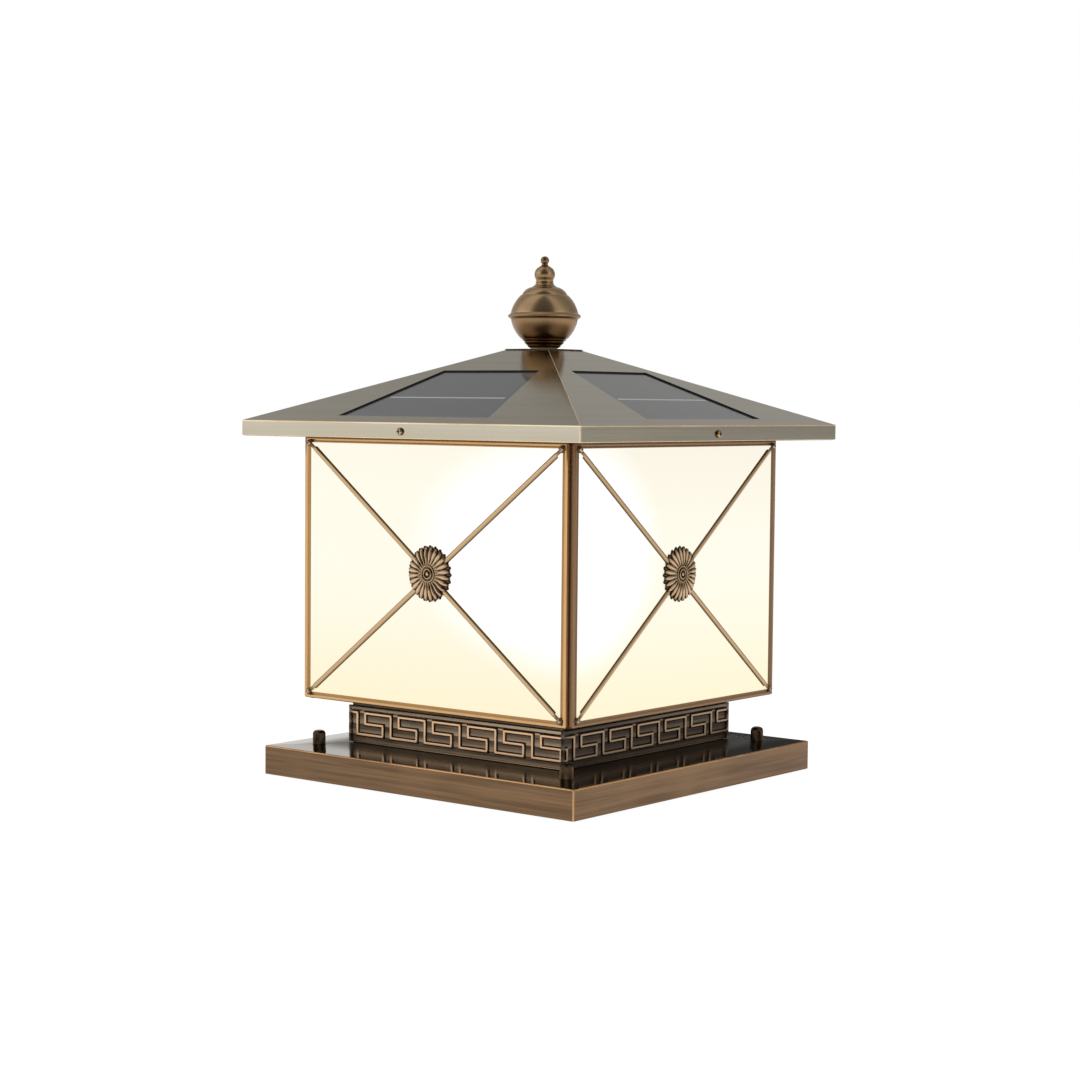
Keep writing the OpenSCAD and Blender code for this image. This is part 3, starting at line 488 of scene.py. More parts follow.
@dataclass(frozen=True)
class ReliefBronze(Finish):
    """Cast or drawn bronze: dark patina and painted shade in its recesses, painted highlights on top.

    The mesh carries the relief, with its painted light and shade, in an attribute named wear, from 0 in the
    recesses to 1 on the crests. Where cell_shade is given, what lies between the two also darkens upwards as
    painted shade, from cell_low on and again each cell_rise.
    """

    deep: Colour
    middle: Colour
    crest: Colour
    roughness: float = 0.34
    speckle: float = 0.18
    pits: float = 0.00006
    streaks: float = 0.0
    cell_low: float = 0.038
    cell_rise: float = 0.01015
    cell_shade: float = 0.0
    metallic: float = 1.0

    def make(self) -> bpy.types.Material:
        """Builds the material.

        Returns:
            The material.
        """
        recipe = Recipe(self.name)
        wear = recipe.attribute("wear")
        fine = recipe.noise(recipe.place(), 420.0, 3.0, 0.65)
        cloud = recipe.noise(recipe.place(), 38.0, 2.0, 0.55)
        worn = wear + (fine - 0.5) * self.speckle + (cloud - 0.5) * self.speckle
        # Painted shade: each cell darkens upwards, under the line above it.
        if self.cell_shade:
            _, _, z = recipe.axes(recipe.place())
            climb = ((z - self.cell_low) / self.cell_rise).part()
            lines = recipe.noise(recipe.grain(9.0, 700.0), 1.0, 2.0, 0.6) - 0.5
            raised = wear.rise(0.15, 0.35) * wear.rise(0.75, 0.65)
            worn = worn + ((0.5 - climb.rise(0.0, 0.75)) * self.cell_shade + lines * self.streaks) * raised
        worn = worn.highest(0.0)
        colour = recipe.ramp(worn, [(0.0, self.deep), (0.5, self.middle), (1.0, self.crest)])
        return recipe.principled({
            "Base Color": colour,
            "Metallic": self.metallic,
            "Roughness": (self.roughness + 0.22) - worn.lowest(1.0) * 0.22 + (fine - 0.5) * 0.1,
            "Normal": recipe.bump(fine, self.pits, 0.5),
        })


@dataclass(frozen=True)
class OpalGlass(Finish):
    """Opal glass with a painted glow: white near the glow and cream towards the rim.

    The painted glow lies at the front right and the back left corners, and the cream is painted darker
    towards the bottom.
    """

    glow: Colour
    cream: Colour
    low_cream: Colour
    corner: float = 0.155
    middle_z: float = 0.222
    steeper: float = 1.45
    upright: float = 1.63
    strength: float = 1.0

    def make(self) -> bpy.types.Material:
        """Builds the material.

        Returns:
            The material.
        """
        recipe = Recipe(self.name)
        x, y, z = recipe.axes(recipe.place())
        swirl = recipe.noise(recipe.place(), 7.0, 2.0, 0.5)
        near_front = (x - self.corner) ** 2.0 + ((y + self.corner) * self.steeper) ** 2.0
        near_back = (x + self.corner) ** 2.0 + ((y - self.corner) * self.steeper) ** 2.0
        reach = (near_front.lowest(near_back) + ((z - self.middle_z) * self.upright) ** 2.0) ** 0.5
        # Painted glow, and painted shade in the darker cream lower down.
        lit = (reach + (swirl - 0.5) * 0.012).rise(0.195, 0.115)
        shade = recipe.mix(self.low_cream, self.cream, z.rise(0.04, 0.21))
        colour = recipe.mix(shade, self.glow, lit)
        return recipe.principled({
            "Base Color": (0.09, 0.088, 0.08, 1.0),
            "Emission Color": colour,
            "Emission Strength": self.strength,
            "Roughness": 0.16 + swirl * 0.06,
            "Coat Weight": 0.3,
            "Coat Roughness": 0.05,
        })


@dataclass(frozen=True)
class SolarLaminate(Finish):
    """Solar cells under glass, drawn on a map in millimetres of the slope."""

    cell: Colour
    tint: Colour
    line: Colour
    rim: Colour
    window: Window
    bus: float
    rim_width: float = 3.0

    def make(self) -> bpy.types.Material:
        """Builds the material.

        Returns:
            The material.
        """
        recipe = Recipe(self.name)
        u, v, _ = recipe.axes(recipe.signal("ShaderNodeUVMap", 0, {"uv_map": "slope"}))
        low, high = self.window.low + self.rim_width, self.window.high - self.rim_width
        edge = self.window.half_low - (v - self.window.low) * self.window.lean - abs(u)
        inside = edge.rise(5.0, 6.2) * v.rise(low, low + 1.0) * v.rise(high, high - 1.0)
        fingers = v.wave(1.9).rise(0.36, 0.5)
        bars = u.wave(26.0).rise(0.486, 0.494)
        blotch = recipe.noise(recipe.place(), 30.0, 3.0, 0.6)
        bus = abs(v - self.bus).rise(1.7, 0.9) * edge.rise(6.5, 8.0)
        colour = recipe.mix(self.cell, self.tint, blotch.rise(0.3, 0.7) * 0.3 + fingers * 0.15)
        colour = recipe.mix(colour, self.line, bars * 0.04)
        colour = recipe.mix(self.rim, colour, inside)
        colour = recipe.mix(colour, self.line, bus)
        return recipe.principled({
            "Base Color": colour,
            "Roughness": 0.4 - bus * 0.1,
            "Coat Weight": 1.0,
            "Coat Roughness": 0.03,
            "Coat IOR": 1.5,
        })


@dataclass(frozen=True)
class Moulded(Finish):
    """Plastic, rubber, porcelain or lacquer with a fine moulded texture."""

    tint: Colour
    shade: Colour
    roughness: float = 0.45
    texture: float = 900.0
    depth: float = 0.00003
    metallic: float = 0.0
    coat: float = 0.0
    glow: float = 0.0

    def make(self) -> bpy.types.Material:
        """Builds the material.

        Returns:
            The material.
        """
        recipe = Recipe(self.name)
        fine = recipe.noise(recipe.place(), self.texture, 2.0, 0.6)
        cloud = recipe.noise(recipe.place(), 26.0, 3.0, 0.55)
        colour = recipe.mix(self.tint, self.shade, cloud.rise(0.35, 0.75) * 0.7 + fine * 0.2)
        return recipe.principled({
            "Base Color": colour,
            "Metallic": self.metallic,
            "Roughness": self.roughness + (fine - 0.5) * 0.16,
            "Coat Weight": self.coat,
            "Emission Color": colour,
            "Emission Strength": self.glow,
            "Normal": recipe.bump(fine, self.depth, 0.5),
        })


@dataclass(frozen=True)
class CircuitBoard(Finish):
    """Green board with paler tracks on a fine grid."""

    mask: Colour
    track: Colour

    def make(self) -> bpy.types.Material:
        """Builds the material.

        Returns:
            The material.
        """
        recipe = Recipe(self.name)
        _, y, z = recipe.axes(recipe.place())
        weave = recipe.noise(recipe.vector(0.0, y * 300.0, z * 60.0), 1.0, 1.0, 0.4)
        tracks = (y + (weave - 0.5) * 0.002).wave(0.0027).rise(0.3, 0.36)
        tracks = tracks * recipe.noise(recipe.place(), 90.0, 1.0, 0.4).rise(0.45, 0.5)
        return recipe.principled({
            "Base Color": recipe.mix(self.mask, self.track, tracks),
            "Roughness": 0.34 - tracks * 0.08,
            "Normal": recipe.bump(tracks, 0.00004, 0.6),
        })


BASE_BRONZE = BrushedSheet(
    "base_bronze", tone(134, 105, 78), tone(100, 79, 59), tone(146, 115, 85), roughness=0.26, across=300.0)
# Its third colour is the painted shade round the pedestal's foot.
BASE_TOP = MirrorSheet("base_polished_bronze", tone(122, 116, 108), tone(104, 98, 90), tone(58, 50, 42))
ROOF_BRONZE = BrushedSheet(
    "roof_satin_bronze", tone(190, 184, 168), tone(182, 174, 156), tone(198, 190, 172),
    roughness=0.17, swing=0.04, along=5.0, across=900.0, depth=0.000006)
# Painted highlights for rounded folds and edges.
EDGE_HIGHLIGHT_GOLD = WornEdge("worn_golden_edge", tone(255, 236, 198), tone(232, 196, 150))
EDGE_HIGHLIGHT_COPPER = WornEdge("worn_copper_edge", tone(226, 178, 126), tone(168, 128, 90), metallic=1.0)
KEY_BRONZE = ReliefBronze(
    "key_band_bronze", tone(46, 35, 26), tone(172, 152, 129), tone(224, 184, 146),
    speckle=0.14, streaks=0.5, cell_shade=0.42)
# Painted shade: a darker copy of the key band bronze for the right and left sides.
KEY_BRONZE_SHADED = ReliefBronze(
    "key_band_bronze_aged", tone(30, 24, 18), tone(122, 108, 94), tone(176, 148, 120),
    speckle=0.14, streaks=0.5, cell_shade=0.42)
# Painted light: a lighter, less metallic copy of the frame bronze for the right and left sides.
MEMBER_BRONZE_SIDE_LIT = ReliefBronze(
    "frame_bronze_pale", tone(74, 52, 34), tone(158, 122, 86), tone(255, 220, 160),
    roughness=0.3, speckle=0.08, metallic=0.4)
MEMBER_BRONZE = ReliefBronze(
    "frame_bronze", tone(66, 46, 30), tone(146, 108, 70), tone(228, 182, 126), roughness=0.22, speckle=0.08)
BAR_BRONZE = ReliefBronze(
    "bar_bronze", tone(60, 46, 33), tone(142, 115, 84), tone(208, 177, 136), roughness=0.26, speckle=0.08)
ROSETTE_BRONZE = ReliefBronze(
    "rosette_bronze", tone(34, 24, 16), tone(120, 94, 68), tone(222, 192, 156), roughness=0.26, speckle=0.14)
TURNED_BRONZE = ReliefBronze(
    "turned_bronze", tone(34, 24, 16), tone(140, 110, 78), tone(218, 186, 146),
    roughness=0.2, speckle=0.08, pits=0.00001)
NUT_BRONZE = ReliefBronze(
    "nut_bronze", tone(32, 25, 19), tone(112, 91, 70), tone(206, 178, 146),
    roughness=0.16, speckle=0.08, pits=0.00002)
# Dark patina; on the pedestal shell and the corner posts also painted shade in the gaps round them.
DARK_BRONZE = Moulded(
    "dark_patina_bronze", tone(82, 66, 50), tone(52, 40, 30), roughness=0.36, metallic=1.0, texture=600.0)
CEILING_BRONZE = Moulded(
    "lacquered_bronze", tone(128, 104, 78), tone(92, 74, 56), roughness=0.38, metallic=1.0, texture=500.0)
ZINC = Moulded(
    "zinc_plate", tone(176, 178, 176), tone(140, 144, 146), roughness=0.34, metallic=1.0, texture=700.0)
EYELET_STEEL = Moulded(
    "tarnished_screw", tone(206, 184, 160), tone(160, 140, 118), roughness=0.3, metallic=1.0, texture=700.0)
NICKEL = Moulded("nickel_plate", tone(206, 202, 192), tone(168, 164, 156), roughness=0.2, metallic=1.0)
OPAL = OpalGlass("lit_opal_glass", tone(255, 255, 254), tone(244, 239, 222), tone(243, 231, 192))
BULB = Moulded("opal_bulb", tone(255, 238, 204), tone(250, 228, 190), roughness=0.3, coat=0.4, glow=0.8)
LAMINATE = SolarLaminate(
    "solar_laminate", tone(52, 56, 62), tone(66, 70, 76), tone(176, 178, 178), tone(46, 48, 52),
    window=Window(), bus=65.0)
RUBBER = Moulded("black_rubber", tone(26, 26, 27), tone(18, 18, 19), roughness=0.66, texture=1400.0)
PLASTIC = Moulded("black_plastic", tone(38, 38, 40), tone(26, 26, 28), roughness=0.42, texture=1100.0)
RED_PLASTIC = Moulded("red_rocker", tone(188, 34, 28), tone(150, 24, 22), roughness=0.34, texture=800.0)
WRAP = Moulded("battery_wrap", tone(46, 92, 156), tone(36, 74, 132), roughness=0.24, coat=0.5, texture=300.0)
BOARD = CircuitBoard("controller_board", tone(24, 92, 52), tone(70, 140, 88))
PORCELAIN = Moulded("white_porcelain", tone(240, 238, 232), tone(226, 222, 212), roughness=0.18, coat=0.6)
INSULATION = Moulded("lead_insulation", tone(62, 60, 60), tone(40, 38, 38), roughness=0.4, texture=600.0)
WASHER = Moulded("pale_washer", tone(236, 222, 196), tone(210, 190, 156), roughness=0.3, coat=0.3)


class Palette:
    """The finished materials, each made once."""

    def __init__(self) -> None:
        """Starts with nothing made."""
        self.made: dict[str, bpy.types.Material] = {}

    def __getitem__(self, finish: Finish) -> bpy.types.Material:
        """The material of a finish, which is made when it is first asked for.

        Args:
            finish: The finish.

        Returns:
            The material.
        """
        if finish.name not in self.made:
            self.made[finish.name] = finish.make()
        return self.made[finish.name]


class Workpiece:
    """One mesh on the bench, shaped with edit-mode operators in millimetres."""

    def __init__(self, name: str) -> None:
        """Takes over the primitive that was just added.

        Args:
            name: The piece's name.
        """
        self.obj = bpy.context.active_object
        self.obj.name = name
        self.obj.data.name = name
        bpy.ops.object.transform_apply(location=True, rotation=True, scale=True)

    @staticmethod
    def clear() -> None:
        """Leaves edit mode and selects nothing."""
        if bpy.context.mode != "OBJECT":
            bpy.ops.object.mode_set(mode="OBJECT")
        bpy.ops.object.select_all(action="DESELECT")

    @classmethod
    def box(cls, name: str, low: Point, high: Point) -> "Workpiece":
        """Starts from a box between two corners.

        Args:
            name: The piece's name.
            low: Lowest corner.
            high: Highest corner.

        Returns:
            The workpiece.
        """
        cls.clear()
        middle = [(a + b) / 2 for a, b in zip(low, high)]
        bpy.ops.mesh.primitive_cube_add(size=1, location=middle, scale=[b - a for a, b in zip(low, high)])
        return cls(name)

    @classmethod
    def sheet(cls, name: str, width: float, height: float, z: float = 0.0) -> "Workpiece":
        """Starts from a level rectangle round the Z axis.

        Args:
            name: The piece's name.
            width: Size along X.
            height: Size along Y.
            z: Its level.

        Returns:
            The workpiece.
        """
        cls.clear()
        bpy.ops.mesh.primitive_plane_add(size=1, location=(0, 0, z))
        piece = cls(name)
        piece.everything().resize((width, height, 1))
        return piece

    @classmethod
    def drum(cls, name: str, radius: float, low: float, high: float, sides: int = 48) -> "Workpiece":
        """Starts from an upright cylinder on the Z axis.

        Args:
            name: The piece's name.
            radius: Its radius.
            low: Level of its foot.
            high: Level of its top.
            sides: How many sides it has.

        Returns:
            The workpiece.
        """
        cls.clear()
        bpy.ops.mesh.primitive_cylinder_add(
            vertices=sides, radius=radius, depth=high - low, location=(0, 0, (low + high) / 2))
        return cls(name)

    @classmethod
    def ball(cls, name: str, radius: float, rings: int, segments: int) -> "Workpiece":
        """Starts from a ball at the origin with its poles on Z.

        Args:
            name: The piece's name.
            radius: Its radius.
            rings: Rings from pole to pole.
            segments: Segments round it.

        Returns:
            The workpiece.
        """
        cls.clear()
        bpy.ops.mesh.primitive_uv_sphere_add(segments=segments, ring_count=rings, radius=radius)
        return cls(name)

    @classmethod
    def line(cls, name: str, points: Sequence[Point]) -> "Workpiece":
        """Starts from one vertex that is extruded along a line of points.

        Args:
            name: The piece's name.
            points: The line's points in order.

        Returns:
            The workpiece, with its last vertex selected.
        """
        cls.clear()
        bpy.ops.mesh.primitive_plane_add(size=1)
        piece = cls(name)
        piece.everything()
        bpy.ops.mesh.merge(type="CENTER")
        piece.move(points[0])
        last = Vector(points[0])
        for point in points[1:]:
            piece.extrude(tuple(Vector(point) - last))
            last = Vector(point)
        return piece

    @classmethod
    def slab(cls, name: str, outline: Sequence[Point], deep: Point) -> "Workpiece":
        """Starts from a flat outline that is filled and extruded.

        Args:
            name: The piece's name.
            outline: The outline's points in order, without the first again.
            deep: How far and which way it is extruded.

        Returns:
            The workpiece, with its faces pointing outwards.
        """
        piece = cls.line(name, [*outline, outline[0]])
        piece.everything().weld(WELD).everything()
        bpy.ops.mesh.edge_face_add()
        return piece.everything().extrude(deep).outward()

    @classmethod
    def turned(cls, name: str, profile: Flat, steps: int, closed: bool) -> "Workpiece":
        """Turns a profile round the Z axis.

        Args:
            name: The piece's name.
            profile: Radius and level of each point of the profile.
            steps: Steps round the axis.
            closed: Whether the last point joins the first.

        Returns:
            The workpiece, with its faces pointing outwards.
        """
        points = [(r, 0.0, z) for r, z in profile]
        if closed:
            points.append(points[0])
        piece = cls.line(name, points)
        piece.everything().weld(WELD).everything()
        bpy.ops.mesh.spin(steps=steps, angle=math.tau, center=(0, 0, 0), axis=(0, 0, 1))
        return piece.everything().weld(WELD).outward()

    def take(self) -> "Workpiece":
        """Selects this piece alone, in object mode.

        Returns:
            The workpiece.
        """
        self.clear()
        bpy.context.view_layer.objects.active = self.obj
        self.obj.select_set(True)
        return self

    def edit(self) -> None:
        """Goes into edit mode on this piece alone."""
        if bpy.context.mode == "EDIT_MESH" and bpy.context.edit_object == self.obj:
            return
        self.take()
        bpy.ops.object.mode_set(mode="EDIT")

    def everything(self) -> "Workpiece":
        """Selects the whole mesh.

        Returns:
            The workpiece.
        """
        self.edit()
        bpy.ops.mesh.select_mode(type="VERT")
        bpy.ops.mesh.select_all(action="SELECT")
        return self

    def pick(self, kind: Kind, test: Test) -> "Workpiece":
        """Selects the elements that pass a test.

        Args:
            kind: What is tested.
            test: Called with an element's middle and its normal, or for an
                edge its direction.

        Returns:
            The workpiece.
        """
        self.edit()
        bpy.ops.mesh.select_mode(type=kind.value)
        bpy.ops.mesh.select_all(action="DESELECT")
        mesh = bmesh.from_edit_mesh(self.obj.data)
        if kind is Kind.VERT:
            found = [(vert, vert.co, vert.normal) for vert in mesh.verts]
        elif kind is Kind.EDGE:
            found = [(edge, (edge.verts[0].co + edge.verts[1].co) / 2, edge.verts[1].co - edge.verts[0].co)
                     for edge in mesh.edges]
        else:
            found = [(face, face.calc_center_median(), face.normal) for face in mesh.faces]
        for element, middle, normal in found:
            if test(middle, normal):
                element.select_set(True)
        mesh.select_flush(True)
        bmesh.update_edit_mesh(self.obj.data)
        return self

    def extrude(self, move: Point) -> "Workpiece":
        """Extrudes the selection and moves it.

        Args:
            move: How far and which way.

        Returns:
            The workpiece.
        """
        self.edit()
        bpy.ops.mesh.extrude_region_move(TRANSFORM_OT_translate={"value": move})
        return self

    def move(self, by: Point) -> "Workpiece":
        """Moves the selection."""
        bpy.ops.transform.translate(value=by)
        return self

    def resize(self, by: Point, centre: Point = (0.0, 0.0, 0.0)) -> "Workpiece":
        """Scales the selection about a point."""
        bpy.ops.transform.resize(value=by, center_override=centre)
        return self

    def inset(self, width: float, depth: float = 0.0) -> "Workpiece":
        """Insets the selected faces."""
        bpy.ops.mesh.inset(thickness=width, depth=depth, use_even_offset=True)
        return self

    def bevel(self, width: float, segments: int, finish: int = -1) -> "Workpiece":
        """Rounds the selected edges, with their own finish or that of a slot.

        Args:
            width: How far the rounding reaches along each face.
            segments: Faces across it.
            finish: Number of the material slot that it takes, or -1 for its own.

        Returns:
            The workpiece.
        """
        bpy.ops.mesh.bevel(
            offset=width, segments=segments, material=finish, affect="EDGES", clamp_overlap=True)
        return self

    def delete(self, kind: Kind) -> "Workpiece":
        """Deletes the selected elements."""
        bpy.ops.mesh.delete(type=kind.value)
        return self

    def cut(self, point: Point, normal: Point, keep_outer: bool = False) -> "Workpiece":
        """Cuts the whole mesh with a plane, drops one side and closes the cut.

        Args:
            point: A point on the plane.
            normal: The plane's normal.
            keep_outer: Keeps the side that the normal points to.

        Returns:
            The workpiece.
        """
        self.everything()
        bpy.ops.mesh.bisect(
            plane_co=point, plane_no=normal, use_fill=True,
            clear_inner=keep_outer, clear_outer=not keep_outer)
        return self

    def weld(self, gap: float) -> "Workpiece":
        """Merges the selected vertices that lie closer than a gap."""
        bpy.ops.mesh.remove_doubles(threshold=gap)
        return self

    def outward(self) -> "Workpiece":
        """Turns every face outwards.

        Returns:
            The workpiece.
        """
        self.everything()
        bpy.ops.mesh.normals_make_consistent(inside=False)
        return self

    def paint(self, finish: int) -> "Workpiece":
        """Gives the selected faces a material slot.

        Args:
            finish: The slot's number.

        Returns:
            The workpiece.
        """
        self.obj.active_material_index = finish
        bpy.ops.object.material_slot_assign()
        return self

    def dress(self, *materials: bpy.types.Material) -> "Workpiece":
        """Gives the piece its material slots, in order.

        Args:
            *materials: A material for each slot.

        Returns:
            The workpiece.
        """
        self.clear()
        for material in materials:
            self.obj.data.materials.append(material)
        return self

    def modify(self, kind: str, **settings: object) -> "Workpiece":
        """Adds a modifier and applies it.

        Args:
            kind: The modifier's type.
            **settings: Its properties.

        Returns:
            The workpiece.
        """
        self.take()
        modifier = self.obj.modifiers.new(kind.lower(), kind)
        for name, value in settings.items():
            setattr(modifier, name, value)
        bpy.ops.object.modifier_apply(modifier=modifier.name)
        return self

    def thicken(self, sheet: float) -> "Workpiece":
        """Gives an open shell the thickness of its sheet, inwards."""
        return self.modify("SOLIDIFY", thickness=sheet, offset=-1, use_even_offset=True)

    def scrap(self) -> None:
        """Throws the piece away."""
        bpy.data.objects.remove(self.obj)

    def bore(self, cutters: Iterable["Workpiece"], operation: str = "DIFFERENCE") -> "Workpiece":
        """Cuts other workpieces out of this one, or keeps what it shares with them.

        Args:
            cutters: The other workpieces, which are thrown away.
            operation: DIFFERENCE or INTERSECT.

        Returns:
            The workpiece.
        """
        for cutter in cutters:
            cutter.clear()
            self.modify("BOOLEAN", operation=operation, object=cutter.obj, solver="EXACT")
            cutter.scrap()
        return self

    def shift(self, matrix: Matrix) -> "Workpiece":
        """Moves the whole mesh by a matrix.

        Args:
            matrix: The move.

        Returns:
            The workpiece.
        """
        self.clear()
        self.obj.data.transform(matrix)
        self.obj.data.update()
        return self

    def join(self, *others: "Workpiece") -> "Workpiece":
        """Joins other workpieces to this one.

        Args:
            *others: The workpieces, which become part of this one.

        Returns:
            The workpiece.
        """
        self.take()
        for other in others:
            other.obj.select_set(True)
        bpy.ops.object.join()
        return self

    def copy(self, name: str) -> "Workpiece":
        """Makes a copy with a mesh of its own.

        Args:
            name: The copy's name.

        Returns:
            The copy.
        """
        self.clear()
        twin = self.obj.copy()
        twin.data = self.obj.data.copy()
        bpy.context.scene.collection.objects.link(twin)
        bpy.context.view_layer.objects.active = twin
        twin.select_set(True)
        return Workpiece(name)

    def wear(self, rule: Callable[[Vector, Vector], float]) -> "Workpiece":
        """Stores for each vertex how far it is rubbed, together with its painted light and shade.

        Args:
            rule: Called with a vertex's place and normal, gives 0 to 1.

        Returns:
            The workpiece.
        """
        self.clear()
        mesh = self.obj.data
        layer = mesh.attributes.new("wear", "FLOAT", "POINT")
        layer.data.foreach_set("value", [rule(vert.co, vert.normal) for vert in mesh.vertices])
        return self

    def smooth(self, degrees: float = 35.0, flat: bool = True) -> "Workpiece":
        """Shades faces smoothly where they meet at less than an angle.

        Args:
            degrees: The angle.
            flat: Keeps the large faces flat up to their rounded edges.

        Returns:
            The workpiece.
        """
        self.take()
        bpy.ops.object.shade_smooth_by_angle(angle=math.radians(degrees))
        return self.modify("WEIGHTED_NORMAL", keep_sharp=True, weight=80) if flat else self

    def finish(self, body: str, slot: str, *nodes: str) -> bpy.types.Object:
        """Scales the piece to metres and hands it to the frame.

        Args:
            body: The CAD body that it moves with.
            slot: The record's material slot; not used.
            *nodes: The CAD nodes that it stands for.

        Returns:
            The finished object.
        """
        self.shift(Matrix.Scale(MM, 4))
        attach(self.obj, body)
        if nodes:
            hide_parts(*nodes)
        log.info("piece %s: %d faces on body %s", self.obj.name, len(self.obj.data.polygons), body)
        return self.obj

    def deal(
        self, places: type[Quarter], lay: Callable[[Quarter], Matrix],
        name: str, body: str, slot: str, node: str,
    ) -> None:
        """Finishes a copy at each of four places and throws the pattern away.

        Args:
            places: The sides or the corners.
            lay: Called with a place, gives where its copy goes.
            name: The copies' name, with {} for the place.
            body: The CAD body of each, with {} for the place.
            slot: The record's material slot.
            node: The CAD node that each stands for, with {} for the place.
        """
        for place in places:
            copy = self.copy(name.format(place.label)).shift(lay(place))
            copy.finish(body.format(place.label), slot, node.format(place.label))
        self.scrap()


def arc(radius: float, start: float, end: float, steps: int, x: float, z: float) -> Flat:
    """Points on an arc round (x, z), from one angle up from X to another, in degrees."""
    turns = [math.radians(start + (end - start) * i / steps) for i in range(steps + 1)]
    return [(x + radius * math.cos(t), z + radius * math.sin(t)) for t in turns]


def pan_head(
    name: str, head: float, height: float, shank: float, length: float, steps: int = 32
) -> Workpiece:
    """A pan-head screw with a cross recess, its head standing on Z = 0.

    Args:
        name: The piece's name.
        head: Diameter of the head.
        height: Height of the head.
        shank: Diameter of the shank.
        length: Length of the shank.
        steps: Steps round it.

    Returns:
        The workpiece.
    """
    crown, edge = height * 0.7, 0.15
    profile = [(0.0, -length), (shank / 2 - 0.2, -length), (shank / 2, -length + 0.4), (shank / 2, 0.0),
               (head / 2 - edge, 0.0), (head / 2, edge)]
    profile += arc(crown, 0, 90, 6, head / 2 - crown, height - crown)
    profile.append((0.0, height))
    screw = Workpiece.turned(name, profile, steps, closed=False)
    arm, width, depth = head * 0.3, head * 0.09, height * 0.55
    slots = [
        Workpiece.box("recess", (-arm, -width, height - depth), (arm, width, height + 1)),
        Workpiece.box("recess", (-width, -arm, height - depth), (width, arm, height + 1)),
    ]
    return screw.bore(slots)


@dataclass
class Assembly:
    """A sub-assembly of the light, dressed from the palette."""

    palette: Palette


@dataclass
class Base(Assembly):
    """The tray that stands on the pillar, and its four cap nuts."""

    width: float = 369.0
    height: float = 27.0
    sheet: float = 1.5
    corner_round: float = 1.1
    rim_round: float = 1.5
    lip: float = 14.0
    access: float = 200.0
    stud_radius: float = 3.0
    stud_free: float = 0.4
    thread_free: float = 0.06
    nut_place: float = 148.5
    nut_radius: float = 6.0
    nut_height: float = 14.0
    nut_dome: float = 3.6
    nut_bore: float = 11.5
    ribs: int = 34
    groove_share: float = 0.93

    def tray(self) -> None:
        """Folds the tray, polishes its top and gives its rounded edges a painted copper highlight."""
        half = self.width / 2
        polished, worn = 1, 2
        piece = Workpiece.box("base_tray", (-half, -half, 0), (half, half, self.height))
        piece.dress(self.palette[BASE_BRONZE], self.palette[BASE_TOP], self.palette[EDGE_HIGHLIGHT_COPPER])
        piece.pick(Kind.FACE, lambda middle, _: middle.z < TOUCH).delete(Kind.FACE)
        # The rounded corners and the rim take the painted copper highlight.
        piece.pick(Kind.EDGE, lambda _, along: abs(along.z) > 1).bevel(self.corner_round, 3, worn)
        piece.pick(Kind.EDGE, lambda middle, _: middle.z > self.height - TOUCH).bevel(self.rim_round, 4, worn)
        piece.pick(Kind.FACE, lambda _, normal: normal.z > 0.999).paint(polished)
        piece.inset(half - self.rim_round - self.access / 2)
        piece.pick(Kind.FACE, lambda middle, normal: normal.z > 0.999 and middle.length < self.height + 1)
        piece.delete(Kind.FACE)
        piece.pick(Kind.EDGE, lambda middle, _: middle.z < TOUCH).extrude((0, 0, 0))
        share = (half - self.lip) / half
        piece.resize((share, share, 1)).thicken(self.sheet)
        holes, wide = [], self.stud_radius + self.stud_free
        for corner in Corner:
            hole = Workpiece.drum("hole", wide, self.height / 2, self.height + 5, 32)
            holes.append(hole.shift(corner.turn @ moved(-self.nut_place, -self.nut_place, 0)))
        piece.bore(holes).smooth(40).finish("lantern", "bronze_sheet", "base_plate")

    def nuts(self) -> None:
        """Turns one domed nut, knurls it and copies it to the corners."""
        r, h, dome = self.nut_radius, self.nut_height, self.nut_dome
        bore = self.stud_radius + self.thread_free
        profile = [(bore, 0.0), (r - 0.5, 0.0), (r - 0.15, 0.35), (r - 0.15, 1.2), (r, 1.6), (r, 5.5),
                   (r, h - dome)]
        profile += arc(dome, 12, 90, 7, r - dome, h - dome)
        profile += [(0.0, h), (0.0, self.nut_bore), (bore, self.nut_bore)]
        nut = Workpiece.turned("cap_nut", profile, self.ribs * 2, closed=True)

        def in_groove(place: Vector, _: Vector) -> bool:
            """Whether a vertex lies at the foot of a knurl."""
            step = math.atan2(place.y, place.x) / math.tau * self.ribs * 2
            return round(step) % 2 == 1 and 1.4 < place.z < h - 2.4 and math.hypot(place.x, place.y) > r - 1

        nut.pick(Kind.VERT, in_groove).resize((self.groove_share, self.groove_share, 1))
        # Painted highlight on the top and on the knurl's ridges; the grooves stay dark.
        nut.wear(lambda place, _: 0.05 + 0.5 * ramp_between(math.hypot(place.x, place.y), r * 0.94, r)
                 + 0.5 * ramp_between(place.z, h - 3.0, h))
        nut.dress(self.palette[NUT_BRONZE]).smooth(20, flat=False)
        nut.deal(Corner, lambda corner: corner.turn @ moved(-self.nut_place, -self.nut_place, self.height),
                 "knurled_nut_{}", "cap_nut_{}", "dark_bronze", "cap_nut_{}")

    def build(self) -> None:
        """Makes the tray and its nuts."""
        self.tray()
        self.nuts()


